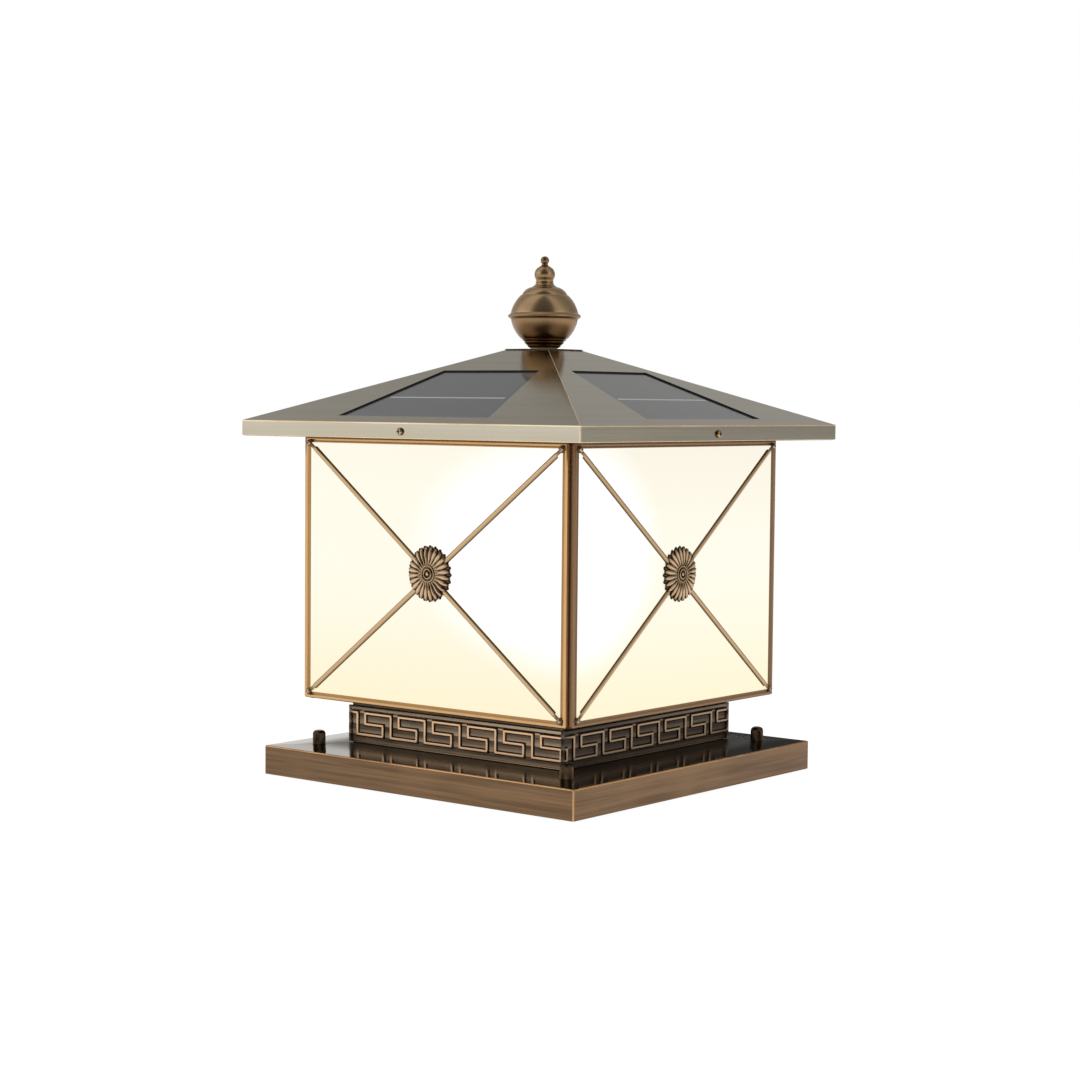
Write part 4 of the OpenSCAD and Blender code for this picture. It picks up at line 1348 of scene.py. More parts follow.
@dataclass
class Pedestal(Assembly):
    """The four cast bands with a running key pattern."""

    width: float = 257.0
    depth: float = 3.0
    low: float = 30.0
    height: float = 43.1
    field_depth: float = 1.4
    strip_low: float = 31.2
    strip_high: float = 34.6
    moat: float = 1.0
    bead: float = 1.7
    pitch: float = 42.4
    line: float = 2.4
    key_low: float = 8.0
    key_rise: float = 20.3
    reach_share: float = 0.762
    line_foot: float = 0.25
    line_sunk: float = 0.2
    groove_round: float = 0.7
    starts: dict[Side, float] = field(default_factory=lambda: {
        Side.FRONT: 20.0, Side.RIGHT: 27.0, Side.BACK: 22.0, Side.LEFT: 25.0})

    def moulding(self) -> Workpiece:
        """Draws the band's section along one side and mitres its ends.

        Returns:
            The plain band, facing the front.
        """
        back, half = self.depth, self.width / 2
        low, high, field_d = self.strip_low, self.strip_high, self.field_depth
        section = [
            (0, 0), (1.5, 0), (1.9, 0.4), (1.9, 1.0), (1.2, 1.5), (field_d, self.key_low - self.line - 1.0),
            (field_d, low - 1.4), (0.5, low - 1.1), (0.5, low - 0.35), (back - 0.5, low), (back, low + 0.5),
            (back, high - 0.5), (back - 0.5, high), (0.6, high + 0.3), (0.6, self.height - 1.4),
            (field_d + 0.5, self.height - 1.0), (field_d + 0.5, self.height), (0, self.height)]
        core = half - back
        piece = Workpiece.slab("band", [(0.0, -core - d, z) for d, z in section], (self.width, 0, 0))
        piece.everything().move((-half, 0, 0))
        piece.cut((half, -half, 0), (1, 1, 0))
        piece.cut((-half, -half, 0), (-1, 1, 0))
        return piece.outward()

    def ribbon(self, start: float) -> Workpiece:
        """Extrudes the flat line of the key pattern, square by square.

        Args:
            start: Place of the first key from the band's left end.

        Returns:
            The raised ribbon, lying in the plane of the moulding's field.
        """
        foot = self.line + 2 * self.moat
        reach = self.pitch * self.reach_share
        low, mid, top = self.key_low, self.key_low + self.key_rise / 2, self.key_low + self.key_rise
        corners = []
        for i in range(-2, 8):
            x = start - self.width / 2 + i * self.pitch
            corners += [(x, top), (x + reach, top), (x + reach, low), (x + 2 * reach, low),
                        (x + 2 * reach, mid), (x + self.pitch, mid)]
        piece = Workpiece.sheet("ribbon", foot, foot)
        piece.everything().move((corners[0][0], corners[0][1], 0))
        for (x0, y0), (x1, y1) in zip(corners, corners[1:]):
            length = math.hypot(x1 - x0, y1 - y0)
            dx, dy = (x1 - x0) / length, (y1 - y0) / length
            edge = Vector((x0 + dx * foot / 2, y0 + dy * foot / 2, 0))
            piece.pick(Kind.EDGE, lambda middle, _, edge=edge: (middle - edge).length < 0.01)
            piece.extrude((dx * (length - foot), dy * (length - foot), 0))
            piece.extrude((dx * foot, dy * foot, 0))
        return piece.everything().weld(WELD).outward()

    def raised(self, start: float) -> Workpiece:
        """Raises the ribbon from the field with a dark foot and a rounded top.

        Args:
            start: Place of the first key from the band's left end.

        Returns:
            The raised lines, facing the front.
        """
        height = self.depth - self.field_depth
        top = self.line_foot + height - 0.1
        piece = self.ribbon(start)
        piece.pick(Kind.FACE, lambda *_: True).extrude((0, 0, self.line_foot)).outward()
        piece.pick(Kind.FACE, lambda middle, normal: normal.z > 0.9 and middle.z > TOUCH)
        piece.inset(self.moat).extrude((0, 0, height - 0.1))
        piece.pick(Kind.FACE, lambda middle, _: middle.z > top - 0.01)
        bpy.ops.mesh.region_to_loop()
        piece.bevel(self.groove_round, 3)
        piece.everything().move((0, 0, -self.line_sunk))
        piece.shift(moved(0, -(self.width / 2 - height), 0) @ spun(90, "X"))
        end = self.width / 2 - 0.2
        piece.cut((end, 0, 0), (1, 0, 0))
        return piece.cut((-end, 0, 0), (-1, 0, 0))

    def build(self) -> None:
        """Makes the four bands."""
        plain = self.moulding()
        span = self.depth - self.field_depth
        field_y = self.width / 2 - span

        def worn(place: Vector, _: Vector) -> float:
            """Painted highlights on the raised lines and the foot bead, grey on the strip, dark in moats and
            grooves as patina and painted shade.

            Args:
                place: A vertex's place.

            Returns:
                Its share from dark to bright, with painted light and shade, from 0 to 1.
            """
            proud = -place.y - field_y
            if place.x < 2.6 - self.width / 2:
                return 0.3
            # Painted highlight on the foot bead.
            if place.z < 1.2:
                return 1.0
            # The strip is grey; the recess above it is painted shade under the frame.
            if place.z > self.strip_low - 0.2:
                return 0.64 if proud > span * 0.5 else 0.2
            # Painted highlight on the tops of the raised lines.
            if proud > 0.15:
                return ramp_between(proud, span * 0.3, span * 0.8)
            # Painted shadow in the moats round the lines.
            if proud > 0.01:
                return 0.0
            # The lower bevel is painted lighter towards its foot, a painted highlight.
            if place.z < self.key_low - self.line:
                return 0.74 - 0.1 * place.z
            return 0.42 if abs(proud) < 0.01 else 0.0

        for side in Side:
            band = plain.copy(f"key_band_relief_{side.label}")
            edge = self.bead - self.width / 2 - 0.8
            bead = Workpiece.drum("bead", self.bead, 0.3, self.strip_high + 0.2, 16)
            bead.shift(moved(edge, edge, 0))
            band.join(self.raised(self.starts[side]), bead).wear(worn)
            # The right and left bands take the darker copy, painted shade.
            band.dress(self.palette[KEY_BRONZE_SHADED if side.aged else KEY_BRONZE]).smooth(35)
            band.shift(side.turn @ moved(0, 0, self.low))
            band.finish("lantern", "cast_bronze", f"key_band_{side.label}")
        plain.scrap()


@dataclass(frozen=True)
class Petal:
    """One layer's fluted petal, which points along X from the rosette's middle."""

    root: float
    tip: float
    width: float
    rise: float
    droop: float
    level: float

    def draw(self) -> Workpiece:
        """Draws the petal out of a ball, narrow at its root and hanging at its tip.

        Returns:
            The petal.
        """
        length = self.tip - self.root
        piece = Workpiece.ball("petal", 1.0, 10, 14).shift(spun(90, "Y"))
        piece.everything().resize((length / 2, self.width / 2, self.rise))
        piece.everything().move((self.root + length / 2, 0, 0))
        rings = sorted({round(vert.co.x, 3) for vert in bmesh.from_edit_mesh(piece.obj.data).verts})
        for ring in rings:
            share = (ring - self.root) / length
            narrow = 0.42 + 0.58 * ramp_between(share, 0.0, 0.75)
            hang = -self.droop * max(0.0, share - 0.45) ** 2 / 0.3
            piece.pick(Kind.VERT, lambda place, _, ring=ring: abs(place.x - ring) < 0.01)
            piece.resize((1, narrow, 1)).move((0, 0, hang))
        piece.pick(Kind.VERT, lambda place, _: abs(place.y) < 0.12 * self.width and place.z > self.rise * 0.2)
        return piece.move((0, 0, self.rise * 0.12))

    def layer(self, count: int, offset: float) -> Workpiece:
        """Spins a layer of petals round the rosette's middle.

        Args:
            count: How many petals it has.
            offset: Turn of the first, in degrees.

        Returns:
            The layer at its level.
        """
        petal = self.draw().shift(spun(offset, "Z")).everything()
        bpy.ops.mesh.spin(steps=count, dupli=True, angle=math.tau, center=(0, 0, 0), axis=(0, 0, 1))
        return petal.everything().weld(WELD / 2).shift(moved(0, 0, self.level))


@dataclass
class LampBox(Assembly):
    """Frames, bars, screws and rosettes on the four faces of the lamp box."""

    plane: float = 155.3
    width: float = 313.9
    height: float = 245.1
    middle_z: float = 195.35
    rail: float = 5.65
    stile: float = 7.3
    wall: float = 4.2
    depth: float = 5.3
    lap: float = 1.7
    corner: float = 3.0
    glass: float = 4.0
    glass_back: float = -3.0
    back_w: float = 299.2
    back_h: float = 238.0
    bar_width: float = 5.3
    bar_rise: float = 2.05
    eye_x: float = 150.0
    eye_y: float = 116.4
    eyelet: float = 3.3
    eyelet_depth: float = 1.2
    screw: float = 2.4
    head: float = 4.6
    head_rise: float = 1.6
    rosette_width: float = 51.5
    rosette_up: float = 2.1
    petals: int = 24

    def on_face(self, side: Side) -> Matrix:
        """Where a face's own X, Y and Z lie on the light."""
        return side.turn @ moved(0, -self.plane, self.middle_z) @ spun(90, "X")

    def ends(self) -> Flat:
        """Places of the four screws on a face."""
        return [(x * self.eye_x, y * self.eye_y) for x in (-1, 1) for y in (-1, 1)]

    def frame(self) -> None:
        """Rolls one frame's section out of a flat sheet and copies it to the four faces."""
        half_w, half_h = self.width / 2, self.height / 2
        back, near = 0.05, 0.05
        section = [(0.35, 0.45), (0.55, 0.4), (0.7, 0.2), (0.7, 0.05), (0.6, -0.15), (0.55, -0.35),
                   (0.4, -0.3), (0.35, 0.0), (0.4, 0.25), (0.5, 0.0), (0.3, -0.15), (0.25, -0.6)]
        piece = Workpiece.sheet("frame", self.width, self.height, back)
        piece.pick(Kind.FACE, lambda *_: True).extrude((0, 0, self.lap))
        piece.extrude((0, 0, self.wall - self.lap - back))
        for width, rise in section:
            piece.inset(width, rise)
        piece.delete(Kind.FACE)
        piece.pick(Kind.FACE, lambda middle, _: middle.z < back + 0.01).inset(self.rail).delete(Kind.FACE)

        def opening(middle: Vector, _: Vector) -> bool:
            """Whether an edge runs round the opening, at its front or back."""
            return abs(middle.x) < half_w - self.rail + near and abs(middle.y) < half_h - self.rail + near

        piece.pick(Kind.EDGE, opening)
        bpy.ops.mesh.bridge_edge_loops()
        for way in (-1, 1):
            piece.pick(Kind.VERT, lambda place, _, way=way: place.x * way > half_w - self.rail - near)
            piece.resize((self.stile / self.rail, 1, 1), (way * half_w, 0, 0))
        piece.pick(Kind.VERT, lambda place, _: place.z < back + 0.01 and abs(place.x) > half_w - near)
        piece.resize(((half_w - self.lap) / half_w, 1, 1)).outward()
        over_w, over_h = half_w + 0.01, half_h + 0.01
        mould = Workpiece.box("mould", (-over_w, -over_h, -1), (over_w, over_h, 9))
        mould.pick(Kind.EDGE, lambda _, along: abs(along.z) > 1).bevel(self.corner, 6)
        piece.bore([mould], "INTERSECT")
        for side in Side:
            copy = piece.copy(f"rolled_frame_{side.label}")
            copy.wear(lambda place, _, aged=side.aged: self._crest(place, aged))
            # The right and left frames take the copy with painted light.
            copy.dress(self.palette[MEMBER_BRONZE_SIDE_LIT if side.aged else MEMBER_BRONZE]).smooth(40)
            copy.shift(self.on_face(side)).finish("lantern", "bronze_sheet", f"panel_frame_{side.label}")
        piece.scrap()

    def _crest(self, place: Vector, aged: bool) -> float:
        """How rubbed a frame is at a point, with painted light and shade: dark outside, a painted golden
        highlight on the bead.

        Args:
            place: The point in the face's frame.
            aged: Whether the rails of this face are duller.

        Returns:
            The wear.
        """
        upright = (self.width / 2 - abs(place.x)) * self.rail / self.stile
        level = self.height / 2 - abs(place.y)
        if level < upright:
            bright = 0.3 if level < 0.5 else 0.86 if level < 2.4 else 0.8 if level < 3.8 else 0.62
            # Painted shade: the rails are duller on the sides with their own painted light.
            return bright * (0.56 if aged else 1.0)
        if upright < 1.8:
            return 0.42 if upright < 1.0 else 0.6
        # Painted highlight on the stiles' bead, and on the whole stile of those sides.
        if upright < 3.4 or aged:
            return 0.92
        # Painted highlight: the left stile is lighter than the right.
        return 0.52 if place.x > 0 else 0.84

    def panes(self) -> None:
        """Steps one pane of opal glass, so that its front stands in the frame's opening."""
        free, foot, rim = 0.05, 0.02, 0.5
        wide, high = self.width / 2 - self.stile - free, self.height / 2 - self.rail - free
        pane = Workpiece.box("pane", (-wide, -high, foot), (wide, high, self.glass))
        pane.pick(Kind.EDGE, lambda middle, _: middle.z > self.glass - TOUCH).bevel(0.3, 2)
        pane.pick(Kind.FACE, lambda _, normal: normal.z < -0.9).inset(rim)
        pane.extrude((0, 0, self.glass_back - foot))
        pane.resize((self.back_w / 2 / (wide - rim), self.back_h / 2 / (high - rim), 1))
        pane.pick(Kind.VERT, lambda place, _: abs(place.z - foot) < 0.01 and abs(place.x) < wide - TOUCH)
        pane.resize((self.back_w / 2 / (wide - rim), 1, 1))
        pane.dress(self.palette[OPAL]).smooth(30)
        pane.deal(Side, self.on_face, "opal_pane_{}", "lantern", "opal_glass", "glass_pane_{}")

    def bars(self) -> None:
        """Shapes one half-round bar with its eyelet and lays four on each face."""
        reach = math.hypot(self.eye_x, self.eye_y)
        radius = self.bar_width / 2
        flat = self.glass + 0.05
        lift = self.depth - flat
        top = lift + self.eyelet_depth
        start, neck = self.rosette_width / 2 - 4.0, reach - self.eyelet - 5.4
        rod = Workpiece.drum("bar", radius, start, neck, 24).shift(spun(90, "Y"))
        rod.cut((0, 0, 0), (0, 0, 1), keep_outer=True)
        rod.everything().resize((1, 1, self.bar_rise / radius))
        rod.pick(Kind.FACE, lambda middle, normal: normal.x > 0.9 and middle.x > neck - TOUCH)
        rod.extrude((1.2, 0, 0)).resize((1, 0.66, 0.5), (neck, 0, 0)).move((0, 0, lift))
        rod.extrude((5.0, 0, 0))
        ring = Workpiece.drum("eyelet", self.eyelet, lift, top, 32)
        ring.pick(Kind.EDGE, lambda middle, along: middle.z > top - TOUCH and abs(along.z) < TOUCH)
        ring.bevel(0.3, 2).shift(moved(reach, 0, 0))
        ring.bore([Workpiece.drum("hole", self.screw / 2 + 0.1, 0, 5, 24).shift(moved(reach, 0, 0))])

        def worn(place: Vector, _: Vector) -> float:
            """A painted highlight along the bar's ridge, even on its neck and dull on the eyelet.

            Args:
                place: A vertex's place.

            Returns:
                Its share from dark to bright, with painted light and shade, from 0 to 1.
            """
            if place.x < neck + 0.5:
                return 0.2 + 0.72 * ramp_between(place.z, self.bar_rise * 0.35, self.bar_rise)
            return 0.7 if place.x < reach - self.eyelet else 0.3

        rod.join(ring).wear(worn)
        rod.dress(self.palette[BAR_BRONZE]).smooth(35)
        for side in Side:
            laid = []
            for x, y in self.ends():
                aim = moved(0, 0, flat) @ Matrix.Rotation(math.atan2(y, x), 4, "Z")
                laid.append(rod.copy(f"crossed_bars_{side.label}").shift(self.on_face(side) @ aim))
            whole = laid[0].join(*laid[1:])
            whole.obj.name = f"crossed_bars_{side.label}"
            whole.finish("lantern", "bronze_sheet", f"cross_bars_{side.label}")
        rod.scrap()

    def screws(self) -> None:
        """Puts a screw in each eyelet."""
        seat = self.depth + self.eyelet_depth
        one = pan_head("bar_screw", self.head, self.head_rise, self.screw, seat - 0.8, 24)
        one.dress(self.palette[EYELET_STEEL]).smooth(35)
        placed = []
        for side in Side:
            for number, (x, y) in enumerate(self.ends()):
                driven = self.on_face(side) @ moved(x, y, seat) @ spun(17 + 41 * number, "Z")
                placed.append(one.copy("eyelet_screws").shift(driven))
        placed[0].join(*placed[1:]).finish("lantern", "zinc_steel", "bar_screws")
        one.scrap()

    def rosette(self) -> None:
        """Casts one rosette and copies it to the four faces."""
        outer_r = self.rosette_width / 2
        long_petal = Petal(root=12.0, tip=outer_r, width=6.0, rise=1.2, droop=0.3, level=0.7)
        short_petal = Petal(root=7.4, tip=outer_r - 0.7, width=5.6, rise=1.9, droop=1.7, level=2.9)
        back = long_petal.layer(self.petals, 0.0)
        front = short_petal.layer(self.petals, 180 / self.petals)
        plate = Workpiece.turned("plate", [
            (0.0, 0.0), (outer_r - 3.6, 0.0), (outer_r - 3.4, 0.5), (20.0, 2.0), (14.0, 3.2), (9.0, 3.6),
            (0.0, 3.6)], 64, closed=False)
        eye = Workpiece.turned("eye", [
            (0.0, 3.0), (8.3, 3.0), (8.3, 3.8), (7.8, 4.3), (7.1, 4.4), (6.5, 3.9), (6.0, 3.5), (5.5, 3.6),
            (5.1, 4.4), (4.4, 4.8), (3.8, 4.7), (3.4, 4.1), (3.1, 3.5), (2.7, 3.4), (2.2, 3.7), (2.0, 4.4),
            (1.4, 4.8), (0.6, 5.0), (0.0, 5.05)], 48, closed=False)
        whole = plate.join(back, front, eye)

        def worn(place: Vector, normal: Vector) -> float:
            """Painted highlights on the petals' ridges and the eye's rings where they face out; dark patina
            and painted shade in the grooves.

            Args:
                place: A vertex's place.
                normal: Its normal.

            Returns:
                Its share from dark to bright, with painted light and shade, from 0 to 1.
            """
            out = math.hypot(place.x, place.y)
            up = ramp_between(normal.z, 0.4, 0.97)
            if out < 8.5:
                return 0.05 + 0.85 * up * ramp_between(place.z, 3.5, 4.6)
            return 0.04 + 0.9 * up * ramp_between(place.z, 1.3 - 0.04 * (out - 12), 4.2 - 0.11 * (out - 12))

        whole.outward().wear(worn)
        whole.dress(self.palette[ROSETTE_BRONZE]).smooth(50)
        lift = moved(0, self.rosette_up, self.glass + 0.05)
        whole.deal(Side, lambda side: self.on_face(side) @ lift,
                   "petalled_rosette_{}", "lantern", "cast_bronze", "rosette_{}")

    def build(self) -> None:
        """Makes everything on the four faces."""
        self.frame()
        self.panes()
        self.bars()
        self.screws()
        self.rosette()


@dataclass
class Roof(Assembly):
    """The folded roof with its solar panels and fascia screws."""

    width: float = 400.0
    fascia_low: float = 318.3
    fascia_high: float = 332.4
    top: float = 400.5
    top_width: float = 51.2
    sheet: float = 1.2
    window: Window = Window()
    window_reveal: float = 4.0
    fold_round: float = 1.0
    hem: float = 1.0
    seal: float = 1.5
    panel: float = 3.5
    recess: float = 1.35
    lap: float = 6.0
    junction_half: float = 11.0
    junction_low: float = 93.25
    junction_high: float = 107.25
    junction_deep: float = 6.0
    rod_free: float = 4.4
    crown_lap: float = 0.7
    crown_hole: float = 14.0
    screw_z: float = 324.645
    screw_bore: float = 2.06
    screw_head: float = 6.8
    screw_rise: float = 2.6

    @property
    def slope(self) -> float:
        """Angle of the slopes, in radians."""
        return math.atan2(self.top - self.fascia_high, (self.width - self.top_width) / 2)

    def on_slope(self, side: Side) -> Matrix:
        """Where a slope's own X, Y and Z lie on the light."""
        return side.turn @ moved(0, -self.width / 2, self.fascia_high) @ Matrix.Rotation(self.slope, 4, "X")

    def outline(self, grow: float) -> Flat:
        """A window's corners on the slope, grown by a margin.

        Args:
            grow: The margin.

        Returns:
            The corners, from the lower left round.
        """
        window = self.window
        wider = grow / math.cos(math.atan(window.lean))
        low, high = window.low - grow, window.high + grow
        x0 = window.half_low - (low - window.low) * window.lean + wider
        x1 = window.half_low - (high - window.low) * window.lean + wider
        return [(-x0, low), (x0, low), (x1, high), (-x1, high)]

    def shell(self) -> None:
        """Folds the shell, opens its windows and gives its folds a painted golden highlight."""
        half = self.width / 2
        gold, dark = 1, 3
        piece = Workpiece.box("folded_roof", (-half, -half, self.fascia_low), (half, half, self.fascia_high))
        piece.dress(*(self.palette[finish] for finish in (ROOF_BRONZE, EDGE_HIGHLIGHT_GOLD, RUBBER, DARK_BRONZE)))
        piece.pick(Kind.FACE, lambda middle, _: middle.z < self.fascia_low + TOUCH).delete(Kind.FACE)
        piece.pick(Kind.FACE, lambda middle, _: middle.z > self.fascia_high - TOUCH)
        share = self.top_width / self.width
        piece.extrude((0, 0, self.top - self.fascia_high)).resize((share, share, 1))
        for side in Side:
            self._open_window(piece, side)

        def fold(middle: Vector, along: Vector) -> bool:
            """Tells the folds that take the painted highlight.

            Args:
                middle: An edge's middle.
                along: Its direction.

            Returns:
                Whether it is a hip, the eave's fold or a fascia corner.
            """
            if abs(along.z) > 1:
                return abs(abs(middle.x) - abs(middle.y)) < 0.5
            return abs(middle.z - self.fascia_high) < TOUCH

        piece.pick(Kind.EDGE, fold).bevel(self.fold_round, 3, gold)
        piece.pick(Kind.EDGE, lambda middle, along: abs(middle.z - self.top) < TOUCH and abs(along.z) < TOUCH)
        piece.bevel(0.6, 2, dark)
        piece.pick(Kind.EDGE, lambda middle, _: middle.z < self.fascia_low + TOUCH)
        share = (half - self.hem) / half
        piece.extrude((0, 0, 0)).resize((share, share, 1)).thicken(self.sheet)
        # The fascia's lower edge takes the painted golden highlight too.
        piece.pick(Kind.EDGE, lambda middle, _: middle.z < self.fascia_low + 0.01
                   and max(abs(middle.x), abs(middle.y)) > half - TOUCH)
        piece.bevel(0.5, 2, gold)
        # The window walls are painted black, as painted shade in the recess.
        for side in Side:
            self._shade_window_walls(piece, side)
        holes = [Workpiece.drum("hole", self.rod_free, self.top - 10, self.top + 10, 32)]
        for side in Side:
            hole = Workpiece.drum("hole", self.screw_bore, -half - 5, -half + 5, 24)
            holes.append(hole.shift(side.turn @ moved(0, 0, self.screw_z) @ spun(-90, "X")))
        piece.bore(holes).smooth(25).finish("roof", "roof_bronze", "roof_shell")

    def _open_window(self, piece: Workpiece, side: Side) -> None:
        """Cuts one slope's window out of the folded sheet.

        Args:
            piece: The roof.
            side: The slope's side.
        """
        out = side.turn @ Vector((0, -1, 0))
        place = self.on_slope(side)
        corners = [place @ Vector((x, y, 0)) for x, y in self.outline(0.0)]
        piece.pick(Kind.FACE, lambda _, normal: normal.z > 0.8 and normal.dot(out) > 0.2)
        piece.inset(self.window_reveal)
        mesh = bmesh.from_edit_mesh(piece.obj.data)
        for vert in [vert for face in mesh.faces if face.select for vert in face.verts]:
            vert.co = min(corners, key=lambda corner, vert=vert: (corner - vert.co).length)
        bmesh.update_edit_mesh(piece.obj.data)
        piece.delete(Kind.FACE)

    def _shade_window_walls(self, piece: Workpiece, side: Side) -> None:
        """Paints the walls of one slope's window with the black rubber finish, as painted shade in the
        recess.

        Args:
            piece: The roof.
            side: The slope's side.
        """
        rubber, near = 2, 0.05
        window, back = self.window, self.on_slope(side).inverted()

        def in_window(middle: Vector, _: Vector) -> bool:
            """Tells the walls of the window.

            Args:
                middle: A face's middle.

            Returns:
                Whether the face is a wall of the window.
            """
            place = back @ middle
            return (near - self.sheet < place.z < -near and abs(place.x) < window.half_low + 1
                    and window.low - 1 < place.y < window.high + 1)

        piece.pick(Kind.FACE, in_window).paint(rubber)

    def panels(self) -> None:
        """Lays a laminated panel behind each window."""
        black = 1
        level = -self.sheet - self.seal
        foot = level - self.panel
        for side in Side:
            corners = [(x, y, level) for x, y in self.outline(self.lap)]
            piece = Workpiece.slab("panel", corners, (0, 0, -self.panel))
            piece.pick(Kind.FACE, lambda middle, _: middle.z > level - TOUCH).inset(self.lap + 0.3)
            piece.extrude((0, 0, -level - self.recess))
            piece.pick(Kind.EDGE, lambda middle, _: middle.z > -self.recess - TOUCH).bevel(0.2, 2)
            low = (-self.junction_half, self.junction_low, foot - self.junction_deep)
            box = Workpiece.box("terminal_box", low, (self.junction_half, self.junction_high, foot))
            box.pick(Kind.EDGE, lambda middle, _: middle.z < foot - 1).bevel(1.0, 3)
            for part in (piece, box):
                part.dress(self.palette[LAMINATE], self.palette[PLASTIC])
            box.pick(Kind.FACE, lambda *_: True).paint(black)
            piece.join(box).clear()
            layer = piece.obj.data.uv_layers.new(name="slope")
            for loop, spot in zip(piece.obj.data.loops, layer.data):
                place = piece.obj.data.vertices[loop.vertex_index].co
                spot.uv = (place.x, place.y)
            piece.smooth(35).shift(self.on_slope(side))
            piece.obj.name = f"laminated_panel_{side.label}"
            piece.finish("roof", "solar_laminate", f"solar_panel_{side.label}")

    def crown(self) -> None:
        """Lays the thin dark cover plate on the flat top, round the finial's foot."""
        half = self.top_width / 2 + self.crown_lap
        plate = Workpiece.box("crown_plate", (-half, -half, self.top + 0.02), (half, half, self.top + 0.9))
        plate.pick(Kind.EDGE, lambda _, along: abs(along.z) > 0.5).bevel(1.2, 3)
        plate.pick(Kind.EDGE, lambda middle, _: middle.z > self.top + 0.8).bevel(0.2, 2)
        plate.bore([Workpiece.drum("hole", self.crown_hole, self.top - 1, self.top + 3, 48)])
        plate.dress(self.palette[DARK_BRONZE]).smooth(30).finish("roof", "dark_bronze")

    def screws(self) -> None:
        """Puts a screw through the middle of each fascia."""
        one = pan_head("fascia", self.screw_head, self.screw_rise, 4.0, 12.0)
        # Painted highlight on the head's crown, where it faces out.
        one.wear(lambda place, normal: 0.3 + 0.6 * ramp_between(place.z, 0.2, 2.2) * max(0.0, normal.z))
        one.dress(self.palette[TURNED_BRONZE]).smooth(35)
        one.deal(Side, lambda side: side.turn @ moved(0, -self.width / 2, self.screw_z) @ spun(90, "X"),
                 "domed_screw_{}", "fascia_screw_{}", "bronze_sheet", "fascia_screw_{}")

    def build(self) -> None:
        """Makes the roof."""
        self.shell()
        self.panels()
        self.crown()
        self.screws()


@dataclass
class Finial(Assembly):
    """The turned bowl, dome and knob on the roof's flat top."""

    foot_z: float = 400.5
    foot: float = 10.0
    bowl: float = 31.9
    belt: float = 34.3
    belt_z: float = 432.7
    dome: float = 33.2
    dome_x: float = -0.6
    dome_rise: float = 27.0
    knob: float = 9.65
    knob_arc: float = 8.6
    knob_rise: float = 29.1
    bead: float = 4.05
    bore: float = 4.1
    steps: int = 96

    def _turn(self, name: str, profile: Flat, node: str) -> None:
        """Turns one piece of the finial and paints it lighter where its profile faces up and darker where it
        turns down, as painted light and shade.

        Args:
            name: The piece's name.
            profile: Its closed profile.
            node: The CAD node that it stands for.
        """
        piece = Workpiece.turned(name, profile, self.steps, closed=True)
        piece.wear(lambda place, normal: 0.62 + 0.3 * normal.z if math.hypot(place.x, place.y) > 6 else 0.5)
        piece.dress(self.palette[TURNED_BRONZE]).smooth(28, flat=False)
        piece.finish("finial", "bronze_sheet", node)

    def build(self) -> None:
        """Turns the three pieces and the washer under them."""
        foot, belt = self.foot_z, self.belt_z
        cap = belt + self.dome_rise
        bowl = [(self.bore, foot + 0.3), (self.foot - 1.2, foot + 0.3), (self.foot - 1.2, foot + 1.8),
                (12.6, foot + 2.0), (13.9, foot + 2.4), (15.6, foot + 3.6), (15.9, foot + 4.0),
                (15.5, foot + 4.4), (17.2, foot + 5.5), (18.7, foot + 7.0), (18.9, foot + 7.3),
                (18.4, foot + 7.7), (20.4, foot + 9.2), (20.9, foot + 9.7), (20.5, foot + 10.1)]
        bowl += arc(self.bowl, -46.1, -8.3, 14, 0.0, belt + 1.9)
        bowl += [(32.8, belt - 2.3), (33.9, belt - 1.3), (self.belt, belt - 0.5), (self.belt, belt - 0.06),
                 (27.6, belt - 0.06)]
        bowl += arc(self.bowl - 2, -9, -44, 10, 0.0, belt + 1.9)
        bowl += [(12.0, foot + 7.0), (self.bore, foot + 5.4)]
        self._turn("spun_bowl", bowl, "finial_bowl")

        dome = [(27.6, belt + 0.06), (self.belt, belt + 0.06), (self.belt, belt + 0.4), (33.2, belt + 1.5),
                (32.3, belt + 2.3)]
        dome += arc(self.dome, 12.3, 45.0, 12, self.dome_x, belt - 4.4)
        dome += [(22.2, belt + 19.6), (21.3, belt + 19.8), (21.1, belt + 20.3)]
        dome += arc(12.9, 29.7, 72.4, 7, 9.7, belt + 14.5)
        dome += [(12.2, cap - 0.02), (self.bore, cap - 0.02), (self.bore, cap - 3.0), (14.5, belt + 21.4)]
        dome += arc(self.dome - 2, 43, 14, 8, self.dome_x, belt - 4.4)
        self._turn("spun_dome", dome, "finial_dome")

        knob = [(self.bore, cap + 0.02), (12.0, cap + 0.02), (11.8, cap + 0.3), (11.1, cap + 0.8),
                (9.7, cap + 1.7), (8.8, cap + 2.7), (8.6, cap + 3.5), (7.9, cap + 3.9), (7.9, cap + 4.5),
                (8.7, cap + 4.8), (8.7, cap + 5.2), (7.9, cap + 5.5), (7.9, cap + 6.2)]
        knob += arc(self.knob_arc, -34, 34, 9, self.knob - self.knob_arc, cap + 12.0)
        knob += [(7.4, cap + 17.7), (6.2, cap + 18.6), (4.4, cap + 19.7), (3.2, cap + 20.5),
                 (2.9, cap + 21.2)]
        knob += arc(self.bead, -47, 90, 10, 0.0, cap + self.knob_rise - self.bead)
        knob += [(0.0, cap + 8.0), (self.bore, cap + 8.0)]
        self._turn("turned_knob", knob, "finial_knob")

        eye, rim = self.bore + 0.4, self.foot - 1.0
        washer = Workpiece.turned("finial_washer", [
            (eye, foot + 0.02), (12.6, foot + 0.02), (13.0, foot + 0.4), (13.0, foot + 1.5),
            (12.4, foot + 1.9), (rim, foot + 1.9), (rim, foot + 0.2), (eye, foot + 0.2)], 64, closed=True)
        washer.dress(self.palette[WASHER]).smooth(30).finish("roof", "nickel_cap")


